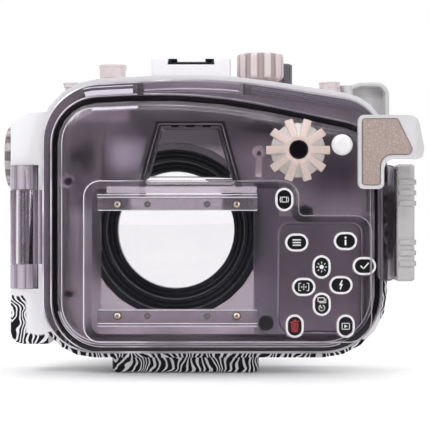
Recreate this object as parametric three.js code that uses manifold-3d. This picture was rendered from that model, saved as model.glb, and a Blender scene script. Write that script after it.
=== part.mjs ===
// Underwater housing for a small interchangeable-lens camera, with its back towards the viewer.
// A smoke-clear back lid swings on a side hinge and shuts on a white front case with a lens port.
// Millimetres. +X is to the right seen from the back, +Y runs from the lid to the port, +Z is up.
// The origin is the middle of the foot's underside. Until the last lines y = 0 is the plane where
// lid and case meet, and the whole housing is then moved so that the foot's middle is the origin.

import * as THREE from 'three';
import { mergeVertices } from 'three/addons/utils/BufferGeometryUtils.js';
import Module from 'manifold-3d';

const wasm = await Module();
wasm.setup();

// Fits, cutting and edges
const gap = 0.3; // between pieces that turn, slide or rest on each other
const partingGap = 0.4; // between the lid's flange and the case's rim
const overrun = 1; // how far a cutter passes the face that it opens
const fineEdge = 0.3; // the three chamfers of moulded edges
const edge = 0.6;
const softEdge = 1.2;

// Lid: overall outline
const lidWidth = 151.1;
const lidHeight = 122.5;
const lidMiddleX = 12.05;
const lidBottomZ = 9.6;
const lidRiseLeftShare = 0.966;
const lidRiseRightShare = 0.904;
const lidCrownShare = 0.508;
const lidCrownRoundShare = 1.608;
const lidTopLeftRadius = 26.6;
const lidTopRightRadius = 20;
const lidLowRightRadius = 26.6;
const lidLowLeftRadius = 23;

// Lid: depths, measured from the parting plane towards the viewer
const flangeThick = 5;
const roofRise = 16;
const roofThick = 3.5;
const pocketRise = 9.5;
const pocketThick = 3.5;
const panelSink = 1;
const windowSink = 0.8;
const humpRise = 20;
const humpThick = 2.7;

// Lid: rounding of the roof's rim outside and inside, [depth, inset] as shares of the roof's wall
const roofRoundShares = [[0, 1.5], [0.086, 1], [0.33, 0.6]];
const roofInnerShares = [[0, 1], [0.17, 0.5], [1, 0.086]];

// Lid: the closed line of the main seal, measured in from the lid's edges
const sealFromLeft = 6.3;
const sealFromRight = 3.1;
const sealFromBottom = 2.4;
const sealDropLeft = 7.7;
const sealDropCrown = 8.5;
const sealDropRight = 13.1;
const sealThick = 2.7;
const sealGrooveClear = 0.2;
const sealCrownShare = 0.463;

// Lid: the stepped pocket with the screen window and the button panel
const pocketFromLeft = 19.5;
const pocketFromRight = 6.2;
const pocketFromBottom = 5.8;
const pocketTopShare = 0.62;
const stepXShare = 0.7485;
const stepZShare = 0.496;
const pocketSlope = 3;
const pocketCorner = 7;
const stepFillet = 2.5;
const panelMargin = 0.9;
const panelPastStep = 8.4;
const panelBelowStep = 3.3;
const panelCorner = 4.5;
const windowMargin = 4;
const windowFromPanel = 10.8;
const windowCorner = 0.9;

// Lid: the raised clear window over the camera's finder
const humpTopWidth = 29.1;
const humpFootWidth = 44.3;
const humpHeight = 27.5;
const humpXShare = 0.4365;
const humpOverlap = 1.6;
const humpCorner = 2.4;
const humpWall = 2.6;
const humpDraft = 1;

// Lid: opening strip on the top flange
const stripWidth = 45;
const stripRise = 2.6;
const stripMargin = 0.9;
const stripDeep = 4.6;
const stripBackShare = 0.2155;

// Hinge at the left side
const hingeFromLid = 9.3;
const hingeRadius = 5.2;
const hingeBottomShare = 0.2335;
const hingeTopShare = 0.679;
const hingeEndKnuckle = 10.6;
const hingePinRadius = 1.6;
const hingeLeafThick = 4.2;
const bracketThick = 2.4;
const bracketClear = 0.5;
const bracketArmShare = 0.7;

// Latch at the right side
const lugReach = 4.9;
const lugHeight = 51.2;
const latchMiddleShare = 0.4715;
const keeperThick = 4.2;
const coverThick = 1.4;
const channelDepth = 3.1;
const leverStandOff = 0.8;
const leverHeight = 51.6;
const leverSkin = 1.8;
const leverPivotY = 30;
const leverKnuckle = 8.2;
const leverRound = 2.2;
const leverEdge = 0.9;
const latchPinRadius = 1.5;
const latchLugRadius = 3.6;
const latchBaseThick = 1.7;
const latchBaseDeep = 15;
const latchArmShare = 0.6;
const clawPivotY = 16;
const clawPlate = 2.6;
const clawHook = 2.4;
const clawKnuckleRadius = 2.4;
const clawHeight = 14;
const clawBite = 2.1;
const clawRestTurn = 7; // degrees that the resting claw stands off from its hooked place
const clawWebThick = 2.6;
const clawPinRadius = 1.1;
const clawRoom = 0.7;
const clawClear = 0.5;
const leverRibDeep = 0.7;
const leverRibWide = 2.2;
const leverRibPitch = 4.7;
const leverRibInset = 7.8;
const slidePocketDeep = 0.9;
const slidePocketWide = 11;
const slidePocketHeight = 19;
const slideLength = 13;
const slideFromRearY = 10;
const slideRibShares = [0.3, 0.5, 0.7];

// Front case
const caseProud = 2.3;
const rimDeep = 5;
const caseDepth = 46;
const caseDraft = 1;
const bodyInset = 1.2;
const caseWall = 3.5;
const caseRound = 9;
const sealFaceWidth = 2.4;

// Case: rounding of its front edge outside and inside, [depth, inset] as shares of its radius
const caseRoundShares = [[1, 0], [0.5, 0.14], [0.17, 0.45], [0, 0.85]];
const caseInnerShares = [[1, 0], [0.33, 0.25], [0, 0.8]];

// White block that carries the hinge bracket and the zoom knob
const blockReach = 14.4;
const blockBottom = 3.7;
const blockTopShare = 0.882;
const blockSlope = 5;
const blockDeep = 13;
const blockShoulderReach = 10.9;
const blockShoulderDeep = 41;
const blockCorner = 5.5;

// Foot
const footWidth = 66;
const footDeep = 40;
const footBackY = 5.4;
const footEdge = 1.8;
const footTopOver = 3;
const tripodBushRadius = 4.6;
const tripodHoleRadius = 3.18;
const tripodBushLength = 6;
const tripodBack = 6;

// Lens port
const lensXShare = 0.383;
const lensZShare = 0.441;
const portHoleRadius = 41.2;
const portBossWall = 1.6;
const portBossLength = 6;
const portFlangeThick = 3.4;
const portTubeRadius = 41;
const portTubeLength = 32;
const portLipRadius = 43.5;
const portLipLength = 9;
const portFirstBore = 38.1;
const portSecondBore = 33;
const portThirdBore = 28.2;
const portGlassSeat = 5.3;
const portGlassThick = 4;
const portRingThick = 2.6;
const portSealThick = 2.2;
const portFlutes = 16;
const portFluteRadius = 1.2;
const portFluteOut = 0.5;
const portSealOut = 1.4;

// Cold shoe and its platform
const shoePlatformWidth = 36.1;
const shoePlatformRise = 9.6;
const shoePlatformBackY = 10;
const shoePlatformDeep = 26;
const shoePlatformRound = 2.4;
const shoeWidth = 20.6;
const shoeHeight = 2.3;
const shoeDeep = 20;
const shoeBase = 0.8;
const shoeLip = 0.7;
const shoeSlotWidth = 12.7;
const shoeRail = 1;
const shoeBelowTop = 0.4;

// Controls on top of the case
const controlY = 18;
const knobRibs = 10;
const knobCoreShare = 0.86;
const knobEdgeShare = 0.11;
const knobFootShare = 0.76;
const knobRibShare = 0.14;
const knobDishShare = 0.6;
const modeKnobRadius = 10.6;
const modeKnobHeight = 12.6;
const modeKnobRise = 3.85;
const modeKnobClear = 2.7;
const modeShaftRadius = 2.5;
const modeDrumRadius = 7.5;
const modeDrumLength = 6;
const modeShaftDrop = 24;
const plugRadius = 7.5;
const plugHeight = 10.2;
const plugRise = 4.2;
const plugClear = 1.5;
const plugOffsetX = 7.9;
const plugStemRadius = 5;
const plugStemLength = 7;
const plugFluteOut = 0.6;
const plugFluteRadius = 1.3;
const topTravel = 2;
const topStemRadius = 1.7;
const topStemDrop = 14;
const topBossWall = 0.8;
const leftButton = { xShare: 0.2, cap: 6.3, collar: 4.95, rise: 4.53, height: 6.2 };
const smallButton = { xShare: 0.0735, cap: 3.65, collar: 2.5, rise: 1.36, height: 2.3 };
const rightButtonClear = 0.34;
const rightButton = { cap: 4.95, collar: 4.3, rise: 5.73, height: 2.9 };

// Zoom knob on the left side
const zoomFromBlock = 3.1;
const zoomZShare = 0.718;
const zoomKnobRadius = 13.9;
const zoomKnobLength = 8.1;
const zoomShaftRadius = 3;
const zoomShaftInside = 12;
const zoomGearShare = 0.68;
const zoomGearLength = 5;
const zoomGearTeeth = 12;
const zoomBoreShare = 0.7;
const toothShares = [[0, 0.84], [0.25, 0.84], [0.35, 1], [0.65, 1], [0.75, 0.84]]; // [turn, radius]

// Shutter lever at the top right
const shutterPivotFromRight = 14.3;
const shutterPivotIn = 4;
const shutterBackIn = 2;
const shutterDeep = 10;
const shutterReach = 5.2;
const shutterRise = 10.1;
const shutterBottomShare = 0.795;
const shutterRim = 1.6;
const shutterInnerRim = 2.6;
const shutterHollow = 6;
const shutterHubRadius = 3.2;
const shutterHubShare = 0.8;
const shutterShaftRadius = 1.9;
const shutterRound = 6;
const shutterArmLength = 15;
const shutterArmDrop = 14;
const shutterArmThick = 3;

// Rear dial and dome button
const dialXShare = 0.7465;
const dialZShare = 0.7298;
const dialRadius = 11.85;
const dialRibRadius = 13.9;
const dialRibWidth = 3.6;
const dialRibRootShare = 0.6;
const dialRibProud = 1;
const dialHubRadius = 5.6;
const dialHoleRadius = 4.15;
const dialHeight = 9.6;
const dialRim = 2.6;
const dialShaftRadius = 2.8;
const dialWheelRadius = 7;
const dialWheelThick = 3.6;
const domeRadius = 4.6;
const domeHeight = 3.6;
const domeRise = 0.5;
const domeLift = 2.3;
const domeGap = 0.6;
const domeRim = 1.2;
const domeBossWall = 1.3;

// Oval push buttons on the lid
const capLong = 10.3;
const capShort = 8;
const capThick = 3.2;
const capLift = 2.8;
const capRecess = 0.5;
const capRimWidth = 1;
const pushTravel = 2;
const stemRadius = 1.7;
const stemDiscRadius = 2.8;
const stemDiscThick = 0.9;
const stemTail = 2.6;
const capScallop = 0.8;
const ovalRoundShare = 0.98;

// Places of the panel's buttons as shares of the panel's width and height; long side lies across
const panelButtonShares = [
  { name: 'button_menu', across: 0.214, up: 0.826, lies: true },
  { name: 'button_info', across: 0.802, up: 0.839, lies: true },
  { name: 'button_up', across: 0.514, up: 0.602, lies: false },
  { name: 'button_ok', across: 1.03, up: 0.61, lies: true },
  { name: 'button_focus', across: 0.299, up: 0.419, lies: true },
  { name: 'button_flash', across: 0.747, up: 0.436, lies: true },
  { name: 'button_drive', across: 0.516, up: 0.26, lies: false },
  { name: 'button_delete', across: 0.19, up: 0.059, lies: false },
  { name: 'button_play', across: 0.805, up: 0.059, lies: false },
];
const displayFromStep = 6.1;
const displayBelowTop = 8;

// Screen hood rails on the pocket floor
const railOverhang = 1.45;
const railHeight = 7.3;
const railBase = 2;
const railLipThick = 1.6;
const railLipRise = 5.4;
const railDrop = 5.6;
const railLift = 6.6;
const railHoleRadius = 1;
const railHoleShares = [0.125, 0.313, 0.686, 0.87];

// Rubber bumpers that press on the camera
const bumperRadius = 3.4;
const sideBumperRadius = 2.9;
const bumperFree = 1.2;
const sideBumperFromLid = 12.2;
const bumperAboveRail = 3;

// Thumb rest
const thumbFromDome = 2.3;
const thumbAboveDome = 12.9;
const thumbLegWidth = 11.2;
const thumbLegHeight = 32.1;
const thumbWingWidth = 29.3;
const thumbWingHeight = 18.9;
const thumbWingTopShare = 0.894;
const thumbKneeShare = 0.778;
const thumbThick = 6;
const thumbRound = 2.4;
const thumbInnerRound = 5;
const thumbCurlStartShare = 0.6075;
const thumbCurlTurn = 75;
const thumbCurlRadius = 9;
const thumbPadThick = 1.3;
const thumbPadSink = 0.8;
const thumbPadMargin = 1.8;
const thumbPadTopShare = 0.577;
const thumbPadKneeShare = 0.799;

// Camera tray
const trayThick = 2.4;
const trayFromRound = 1;
const trayFromFront = 14;
const trayBackY = 9;
const trayClear = 0.6;
const trayRibHeight = 3;
const trayRibWide = 2;

// Facets
const cornerSteps = 5;
const crownSteps = 3;
const fineRound = 28;
const roundSteps = 14;
const smallRound = 12;
const tinyRound = 6;
const ovalSteps = 2;
const sealSides = 6;

// Derived lines of the lid
const lidLeft = lidMiddleX - lidWidth / 2;
const lidRight = lidMiddleX + lidWidth / 2;
const lidTopZ = lidBottomZ + lidHeight;
const lidLeftTopZ = lidBottomZ + lidRiseLeftShare * lidHeight;
const lidRightTopZ = lidBottomZ + lidRiseRightShare * lidHeight;
const crownX = lidLeft + lidCrownShare * lidWidth;
const lidCrownRadius = lidCrownRoundShare * lidWidth;
const lidCorners = [
  [lidLeft, lidLeftTopZ, lidTopLeftRadius, cornerSteps],
  [crownX, lidTopZ, lidCrownRadius, crownSteps],
  [lidRight, lidRightTopZ, lidTopRightRadius, cornerSteps],
  [lidRight, lidBottomZ, lidLowRightRadius, cornerSteps],
  [lidLeft, lidBottomZ, lidLowLeftRadius, cornerSteps],
];
const sealLeft = lidLeft + sealFromLeft;
const sealRight = lidRight - sealFromRight;
const sealBottom = lidBottomZ + sealFromBottom;
const sealCrownX = lidLeft + sealCrownShare * lidWidth;
const sealCorners = [
  [sealLeft, lidLeftTopZ - sealDropLeft, lidTopLeftRadius - sealDropLeft, cornerSteps],
  [sealCrownX, lidTopZ - sealDropCrown, lidCrownRadius, crownSteps],
  [sealRight, lidRightTopZ - sealDropRight, lidTopRightRadius - sealFromRight, cornerSteps],
  [sealRight, sealBottom, lidLowRightRadius - sealFromRight, cornerSteps],
  [sealLeft, sealBottom, lidLowLeftRadius - sealFromBottom, cornerSteps],
];
const sealHalf = sealThick / 2;
const sealGrooveDepth = sealThick + sealGrooveClear;
const grooveHalf = sealHalf + gap;

// Derived lines of the pocket, its panel and its window
const pocketLeft = lidLeft + pocketFromLeft;
const pocketRight = lidRight - pocketFromRight;
const pocketBottom = lidBottomZ + pocketFromBottom;
const pocketTop = lidBottomZ + pocketTopShare * lidHeight;
const stepX = lidLeft + stepXShare * lidWidth;
const stepZ = lidBottomZ + stepZShare * lidHeight;
const pocketCorners = [
  [pocketLeft, pocketTop, pocketCorner, cornerSteps],
  [stepX, pocketTop, pocketCorner, cornerSteps],
  [stepX, stepZ, stepFillet, crownSteps],
  [pocketRight, stepZ, pocketCorner, cornerSteps],
  [pocketRight, pocketBottom, pocketCorner + pocketSlope, cornerSteps],
  [pocketLeft, pocketBottom, pocketCorner, cornerSteps],
];
const panelLeft = stepX - panelPastStep;
const panelRight = pocketRight - pocketSlope - panelMargin;
const panelBottom = pocketBottom + pocketSlope + panelMargin;
const panelTop = stepZ - panelBelowStep;
const panelFloor = -(pocketRise - panelSink);
const pocketInner = -(pocketRise - pocketThick);
const roofInner = -(roofRise - roofThick);
const windowLeft = pocketLeft + pocketSlope + windowMargin;
const windowRight = panelLeft - windowFromPanel;
const upperRailZ = pocketTop - railDrop - railHeight / 2;
const lowerRailZ = pocketBottom + railLift + railHeight / 2;

// Derived places of the hinge and the latch
const hingeX = lidLeft - hingeFromLid;
const hingeBottomZ = lidBottomZ + hingeBottomShare * lidHeight;
const hingeTopZ = lidBottomZ + hingeTopShare * lidHeight;
const lidKnuckleBottom = hingeBottomZ + hingeEndKnuckle + gap;
const lidKnuckleTop = hingeTopZ - hingeEndKnuckle - gap;
const bracketY = hingeRadius + bracketClear;
const latchZ = lidBottomZ + latchMiddleShare * lidHeight;
const lugRight = lidRight + lugReach;
const clawReach = keeperThick + gap + clawHook;
const lugDepth = clawReach + clawRoom + coverThick;
const clawSwing = (clawPivotY + clawReach) * Math.sin(clawRestTurn * Math.PI / 180);
const leverThick = gap + clawPlate + clawSwing + clawClear + leverSkin;
const leverInner = lugRight + leverStandOff;
const leverOuter = leverInner + leverThick;
const leverPivotX = (leverInner + leverOuter) / 2;
const leverBackY = -clawReach - clawRoom - leverSkin;
const leverFrontY = leverPivotY + leverThick / 2;
const clawPivotX = leverOuter - leverSkin - gap - clawKnuckleRadius;
const clawFrontY = -keeperThick - gap;
const leverBottomZ = latchZ - leverHeight / 2;
const leverTopZ = latchZ + leverHeight / 2;

// Derived places on the case
const caseFront = caseDepth;
const caseInnerFront = caseDepth - caseWall;
const bodyBottom = lidBottomZ + bodyInset;
const footCentreY = footBackY + footDeep / 2;
const portGlassRadius = portThirdBore + portGlassSeat;
const portSealInner = portHoleRadius + portSealOut;
const portSealOuter = portSealInner + portSealThick + gap * 2;
const portBossRadius = portSealOuter + portBossWall;
const lensX = lidLeft + lensXShare * lidWidth;
const lensZ = lidBottomZ + lensZShare * lidHeight;
const humpX = lidLeft + humpXShare * lidWidth;
const shoePlatformX = humpX;
const shoePlatformTop = lidTopZ + shoePlatformRise;
const shoeRight = shoePlatformX + shoePlatformWidth / 2;
const modeX = shoeRight + modeKnobClear + modeKnobRadius;
const modeKnobBottom = caseTopAt(modeX) + modeKnobRise;
const plugX = modeX + plugOffsetX;
const plugBottom = caseTopAt(plugX) + plugRise;
const plugY = controlY + Math.sqrt((modeKnobRadius + plugRadius + plugClear) ** 2 - plugOffsetX ** 2);
const shutterX = lidRight - shutterPivotFromRight;
const shutterTop = caseTopAt(shutterX) + shutterRise;
const shutterPivotY = controlY + shutterPivotIn;
const shutterBackY = controlY + shutterBackIn;
const rightButtonX = shutterX - shutterHubRadius * shutterHubShare - rightButtonClear - topBossWall
  - rightButton.collar;
const leftButtonX = lidLeft + leftButton.xShare * lidWidth;
const smallButtonX = lidLeft + smallButton.xShare * lidWidth;
const zoomY = blockDeep + zoomFromBlock + zoomKnobRadius;
const zoomZ = lidBottomZ + zoomZShare * lidHeight;
const zoomGearRadius = (caseInnerFront - zoomY) * zoomGearShare;
const blockLeft = lidLeft - blockReach;
const shoulderLeft = lidLeft - blockShoulderReach;
const blockTop = lidBottomZ + blockTopShare * lidHeight;
const dialX = lidLeft + dialXShare * lidWidth;
const dialZ = lidBottomZ + dialZShare * lidHeight;
const domeX = dialX + dialRibRadius + domeGap + domeRadius;
const domeZ = dialZ + domeLift;
const thumbLeft = domeX + domeRadius + thumbFromDome;
const thumbTop = domeZ + thumbAboveDome;

// Basic solids

function solid(geometry) {
  const bare = geometry.clone();
  bare.deleteAttribute('normal');
  bare.deleteAttribute('uv');
  const merged = mergeVertices(bare);
  const position = merged.attributes.position;
  const corners = Array.from(merged.index.array);
  const faces = [];
  for (let i = 0; i < corners.length; i += 3) {
    const [a, b, c] = corners.slice(i, i + 3);
    if (a !== b && b !== c && c !== a) faces.push([a, b, c]);
  }
  const at = (index) => new THREE.Vector3().fromBufferAttribute(position, index);
  const volume = faces.reduce((sum, [a, b, c]) => sum + at(a).dot(at(b).cross(at(c))), 0);
  const turned = volume < 0 ? faces.map(([a, b, c]) => [a, c, b]) : faces;
  return new wasm.Manifold(new wasm.Mesh({
    numProp: 3,
    vertProperties: new Float32Array(position.array),
    triVerts: new Uint32Array(turned.flat()),
  }));
}

function geometryOf(body) {
  const mesh = body.getMesh();
  const geometry = new THREE.BufferGeometry();
  geometry.setAttribute('position', new THREE.BufferAttribute(mesh.vertProperties, 3));
  geometry.setIndex(new THREE.BufferAttribute(mesh.triVerts, 1));
  return geometry;
}

function join(...bodies) {
  return bodies.reduce((whole, body) => whole.add(body));
}

function cut(body, ...cutters) {
  return cutters.reduce((rest, cutter) => rest.subtract(cutter), body);
}

// An axis-aligned box from its lowest to its highest corner.
function block(low, high) {
  const size = high.map((value, i) => value - low[i]);
  const geometry = new THREE.BoxGeometry(...size);
  geometry.translate(...low.map((value, i) => value + size[i] / 2));
  return solid(geometry);
}

// Turns a shape drawn flat into the named plane: its third direction becomes the axis.
const planeTurns = {
  x: new THREE.Matrix4().makeBasis(
    new THREE.Vector3(0, 1, 0), new THREE.Vector3(0, 0, 1), new THREE.Vector3(1, 0, 0)),
  y: new THREE.Matrix4().makeBasis(
    new THREE.Vector3(1, 0, 0), new THREE.Vector3(0, 0, 1), new THREE.Vector3(0, -1, 0)),
  z: new THREE.Matrix4(),
};

// A prism of an outline. It is drawn in Y and Z for axis x, in X and Z for y, in X and Y for z.
function prism(axis, points, low, high) {
  const depth = high - low;
  const geometry = new THREE.ExtrudeGeometry(new THREE.Shape(points), { depth, bevelEnabled: false });
  geometry.applyMatrix4(planeTurns[axis]);
  const start = { x: [low, 0, 0], y: [0, high, 0], z: [0, 0, low] }[axis];
  geometry.translate(...start);
  return solid(geometry);
}

// A turned piece. The profile gives [radius, place along the axis]; centre is where the axis lies.
function turned(axis, centre, profile, steps) {
  const points = profile.map(([radius, along]) => new THREE.Vector2(radius, along));
  const geometry = new THREE.LatheGeometry(points, steps);
  if (axis === 'x') geometry.rotateZ(-Math.PI / 2);
  if (axis === 'z') geometry.rotateX(Math.PI / 2);
  const place = { x: [0, ...centre], y: [centre[0], 0, centre[1]], z: [...centre, 0] }[axis];
  geometry.translate(...place);
  return solid(geometry);
}

function rod(axis, centre, radius, low, high, steps = smallRound) {
  return turned(axis, centre, [[0, low], [radius, low], [radius, high], [0, high]], steps);
}

function tube(axis, centre, outer, inner, low, high, steps = smallRound) {
  const profile = [[inner, low], [outer, low], [outer, high], [inner, high], [inner, low]];
  return turned(axis, centre, profile, steps);
}

// The outline through corners [across, up, radius, steps], drawn in by inset, corners rounded.
function outline(corners, inset = 0) {
  const count = corners.length;
  const at = (i) => new THREE.Vector2(corners[(i + count) % count][0], corners[(i + count) % count][1]);
  const area = THREE.ShapeUtils.area(corners.map((corner, i) => at(i)));
  const side = Math.sign(area);
  const points = corners.flatMap(([, , radius, steps], i) => {
    const before = at(i).sub(at(i - 1)).normalize();
    const after = at(i + 1).sub(at(i)).normalize();
    const turn = Math.atan2(before.cross(after), before.dot(after));
    const inward = (edge) => new THREE.Vector2(-edge.y, edge.x).multiplyScalar(side);
    const shift = inward(before).add(inward(after)).multiplyScalar(inset / (1 + before.dot(after)));
    const corner = at(i).add(shift);
    const outside = Math.sign(turn) === side;
    const bend = Math.max(outside ? radius - inset : radius + inset, gap);
    const start = corner.clone().addScaledVector(before, -bend * Math.tan(Math.abs(turn) / 2));
    const toCentre = new THREE.Vector2(-before.y, before.x).multiplyScalar(Math.sign(turn) * bend);
    const centre = start.clone().add(toCentre);
    return Array.from({ length: steps + 1 }, (none, k) => (
      start.clone().rotateAround(centre, turn * k / steps)));
  });
  return side < 0 ? points.reverse() : points;
}

// A closed skin over rings of equal length, one at each place along the axis y or z.
function loft(axis, levels) {
  const count = levels[0].points.length;
  const place = axis === 'y' ? (p, at) => [p.x, at, p.y] : (p, at) => [p.x, p.y, at];
  const positions = levels.flatMap(({ at, points }) => points.flatMap((p) => place(p, at)));
  const faces = [];
  for (let ring = 0; ring + 1 < levels.length; ring += 1) {
    for (let i = 0; i < count; i += 1) {
      const a = ring * count + i;
      const b = ring * count + (i + 1) % count;
      faces.push(a, a + count, b, b, a + count, b + count);
    }
  }
  const last = (levels.length - 1) * count;
  const lowCap = THREE.ShapeUtils.triangulateShape(levels[0].points, []);
  const highCap = THREE.ShapeUtils.triangulateShape(levels[levels.length - 1].points, []);
  lowCap.forEach(([a, b, c]) => faces.push(a, b, c));
  highCap.forEach(([a, b, c]) => faces.push(last + a, last + c, last + b));
  const geometry = new THREE.BufferGeometry();
  geometry.setAttribute('position', new THREE.Float32BufferAttribute(positions, 3));
  geometry.setIndex(faces);
  return solid(geometry);
}

// A stack of one outline at several depths; levels are [y, inset].
function stack(corners, levels) {
  return loft('y', levels.map(([at, inset]) => ({ at, points: outline(corners, inset) })));
}

// A closed ring of any section along an outline; the section is a list of [inset, y].
function hoop(corners, section) {
  const rings = section.map(([inset]) => outline(corners, inset));
  const count = rings[0].length;
  const positions = rings.flatMap((ring, j) => ring.flatMap((p) => [p.x, section[j][1], p.y]));
  const faces = [];
  rings.forEach((ring, j) => {
    const next = (j + 1) % rings.length;
    for (let i = 0; i < count; i += 1) {
      const a = j * count + i;
      const b = j * count + (i + 1) % count;
      const c = next * count + i;
      const d = next * count + (i + 1) % count;
      faces.push(a, b, c, b, d, c);
    }
  });
  const geometry = new THREE.BufferGeometry();
  geometry.setAttribute('position', new THREE.Float32BufferAttribute(positions, 3));
  geometry.setIndex(faces);
  return solid(geometry);
}

function rectangle(low, high, radius, steps = crownSteps) {
  return [
    [low[0], low[1], radius, steps],
    [high[0], low[1], radius, steps],
    [high[0], high[1], radius, steps],
    [low[0], high[1], radius, steps],
  ];
}

// An oval with straight sides round a middle point.
function ovalCorners(centre, width, height) {
  const low = [centre[0] - width / 2, centre[1] - height / 2];
  const high = [centre[0] + width / 2, centre[1] + height / 2];
  return rectangle(low, high, Math.min(width, height) / 2 * ovalRoundShare, ovalSteps);
}

// A fluted knob standing on its face at zero, its axis along Z, with a blind bore for its shaft.
function flutedKnob(radius, height, boreRadius, boreDepth) {
  const core = radius * knobCoreShare;
  const bevel = radius * knobEdgeShare;
  const foot = radius * knobFootShare;
  const body = turned('z', [0, 0], [
    [0, 0], [foot, 0], [core, bevel], [core, height - bevel], [core - bevel / 2, height], [0, height],
  ], roundSteps);
  const half = radius * knobRibShare;
  const ribProfile = [
    [0, bevel], [foot, bevel / 2], [radius, bevel * 2],
    [radius, height - bevel], [radius - bevel / 2, height - bevel / 4], [0, height - bevel / 4],
  ].map(([out, up]) => new THREE.Vector2(out, up));
  const rib = prism('y', ribProfile, -half, half);
  const ribs = Array.from({ length: knobRibs }, (none, i) => rib.rotate([0, 0, i * 360 / knobRibs]));
  const bore = rod('z', [0, 0], boreRadius, -overrun, boreDepth);
  const dish = turned('z', [0, 0], [
    [0, height - bevel / 2], [core * knobDishShare, height - bevel / 2],
    [core * knobDishShare + bevel / 2, height + overrun], [0, height + overrun],
  ], roundSteps);
  return cut(join(body, ...ribs), bore, dish);
}

// Back lid

function lidBlank() {
  const flange = stack(lidCorners, [
    [-flangeThick, softEdge], [-flangeThick + fineEdge, fineEdge], [-flangeThick + softEdge, 0], [0, 0],
  ]);
  const dome = stack(sealCorners, [
    ...roofRoundShares.map(([deep, inset]) => [-roofRise + deep * roofThick, inset * roofThick]),
    [-roofRise + roofThick, sealHalf],
    [-flangeThick / 2, edge],
  ]);
  return join(flange, dome);
}

function lidCavity() {
  const wall = sealHalf + gap + roofThick / 2;
  return stack(sealCorners, [
    ...roofInnerShares.map(([deep, inset]) => [roofInner + deep * roofThick, wall + inset * roofThick]),
    [overrun, wall],
  ]);
}

function pocketCut() {
  const floor = stack(pocketCorners, [
    [-roofRise - overrun, 0],
    [-roofRise, 0],
    [-roofRise + pocketSlope, pocketSlope / 2],
    [-pocketRise - edge, pocketSlope - fineEdge],
    [-pocketRise, pocketSlope],
  ]);
  const panelCorners = rectangle([panelLeft, panelBottom], [panelRight, panelTop], panelCorner);
  const panel = stack(panelCorners, [
    [-pocketRise - overrun, 0], [-pocketRise, 0], [panelFloor, panelSink / 2],
  ]);
  const windowCorners = rectangle(
    [windowLeft, lowerRailZ + railHeight / 2 + gap],
    [windowRight, upperRailZ - railHeight / 2 - gap], windowCorner);
  const window = stack(windowCorners, [
    [-pocketRise - overrun, 0], [-(pocketRise - windowSink), 0],
  ]);
  return join(floor, panel, window);
}

const humpBottom = pocketTop - humpOverlap;
const humpCorners = [
  [humpX - humpFootWidth / 2, humpBottom, humpCorner, crownSteps],
  [humpX + humpFootWidth / 2, humpBottom, humpCorner, crownSteps],
  [humpX + humpTopWidth / 2, humpBottom + humpHeight, humpCorner, crownSteps],
  [humpX - humpTopWidth / 2, humpBottom + humpHeight, humpCorner, crownSteps],
];

function openingStrip() {
  const left = crownX - lidWidth * stripBackShare;
  const inside = stack(lidCorners, [
    [-flangeThick - stripRise, stripMargin], [-flangeThick / 2, stripMargin],
  ]);
  const core = stack(lidCorners, [
    [-flangeThick - stripRise - overrun, stripMargin + stripDeep],
    [0, stripMargin + stripDeep],
  ]);
  const range = block(
    [left, -flangeThick - stripRise - overrun, lidTopZ - lidHeight / 2],
    [left + stripWidth, 0, lidTopZ + overrun]);
  return cut(inside, core).intersect(range);
}

function lidKnuckle() {
  const barrel = rod('z', [hingeX, 0], hingeRadius, lidKnuckleBottom, lidKnuckleTop, roundSteps);
  const leaf = block(
    [hingeX, -gap - hingeLeafThick, lidKnuckleBottom],
    [lidLeft + sealFromLeft / 3, -gap, lidKnuckleTop]);
  return join(barrel, leaf);
}

function latchLug() {
  const corners = rectangle(
    [lidRight - lugReach / 2, latchZ - lugHeight / 2],
    [lugRight, latchZ + lugHeight / 2], lugReach / 2);
  const body = stack(corners, [[-lugDepth, edge], [-lugDepth + edge, 0], [-gap, 0]]);
  const channel = block(
    [lugRight - channelDepth, -lugDepth + coverThick, latchZ - clawHeight],
    [lugRight + overrun, -keeperThick, latchZ + clawHeight]);
  return cut(body, channel);
}

const panelButtons = panelButtonShares.map(({ name, across, up, lies }) => ({
  name,
  centre: [panelLeft + across * (panelRight - panelLeft), panelBottom + up * (panelTop - panelBottom)],
  width: lies ? capLong : capShort,
  height: lies ? capShort : capLong,
  floor: panelFloor,
}));
const displayButton = {
  name: 'button_display',
  centre: [stepX - displayFromStep, pocketTop - displayBelowTop],
  width: capShort,
  height: capLong,
  floor: -pocketRise,
};
const ovalButtons = [...panelButtons, displayButton];

function buttonHole({ centre, width, height, floor }) {
  const bore = rod('y', centre, stemRadius + gap, -roofRise - overrun, overrun, tinyRound);
  const inner = rod('y', centre, stemDiscRadius + gap, pocketInner, overrun, tinyRound);
  const room = stack(ovalCorners(centre, width, height), [
    [-roofRise - overrun, -capScallop], [floor - edge, -capScallop],
  ]);
  return join(bore, inner, room);
}

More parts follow.
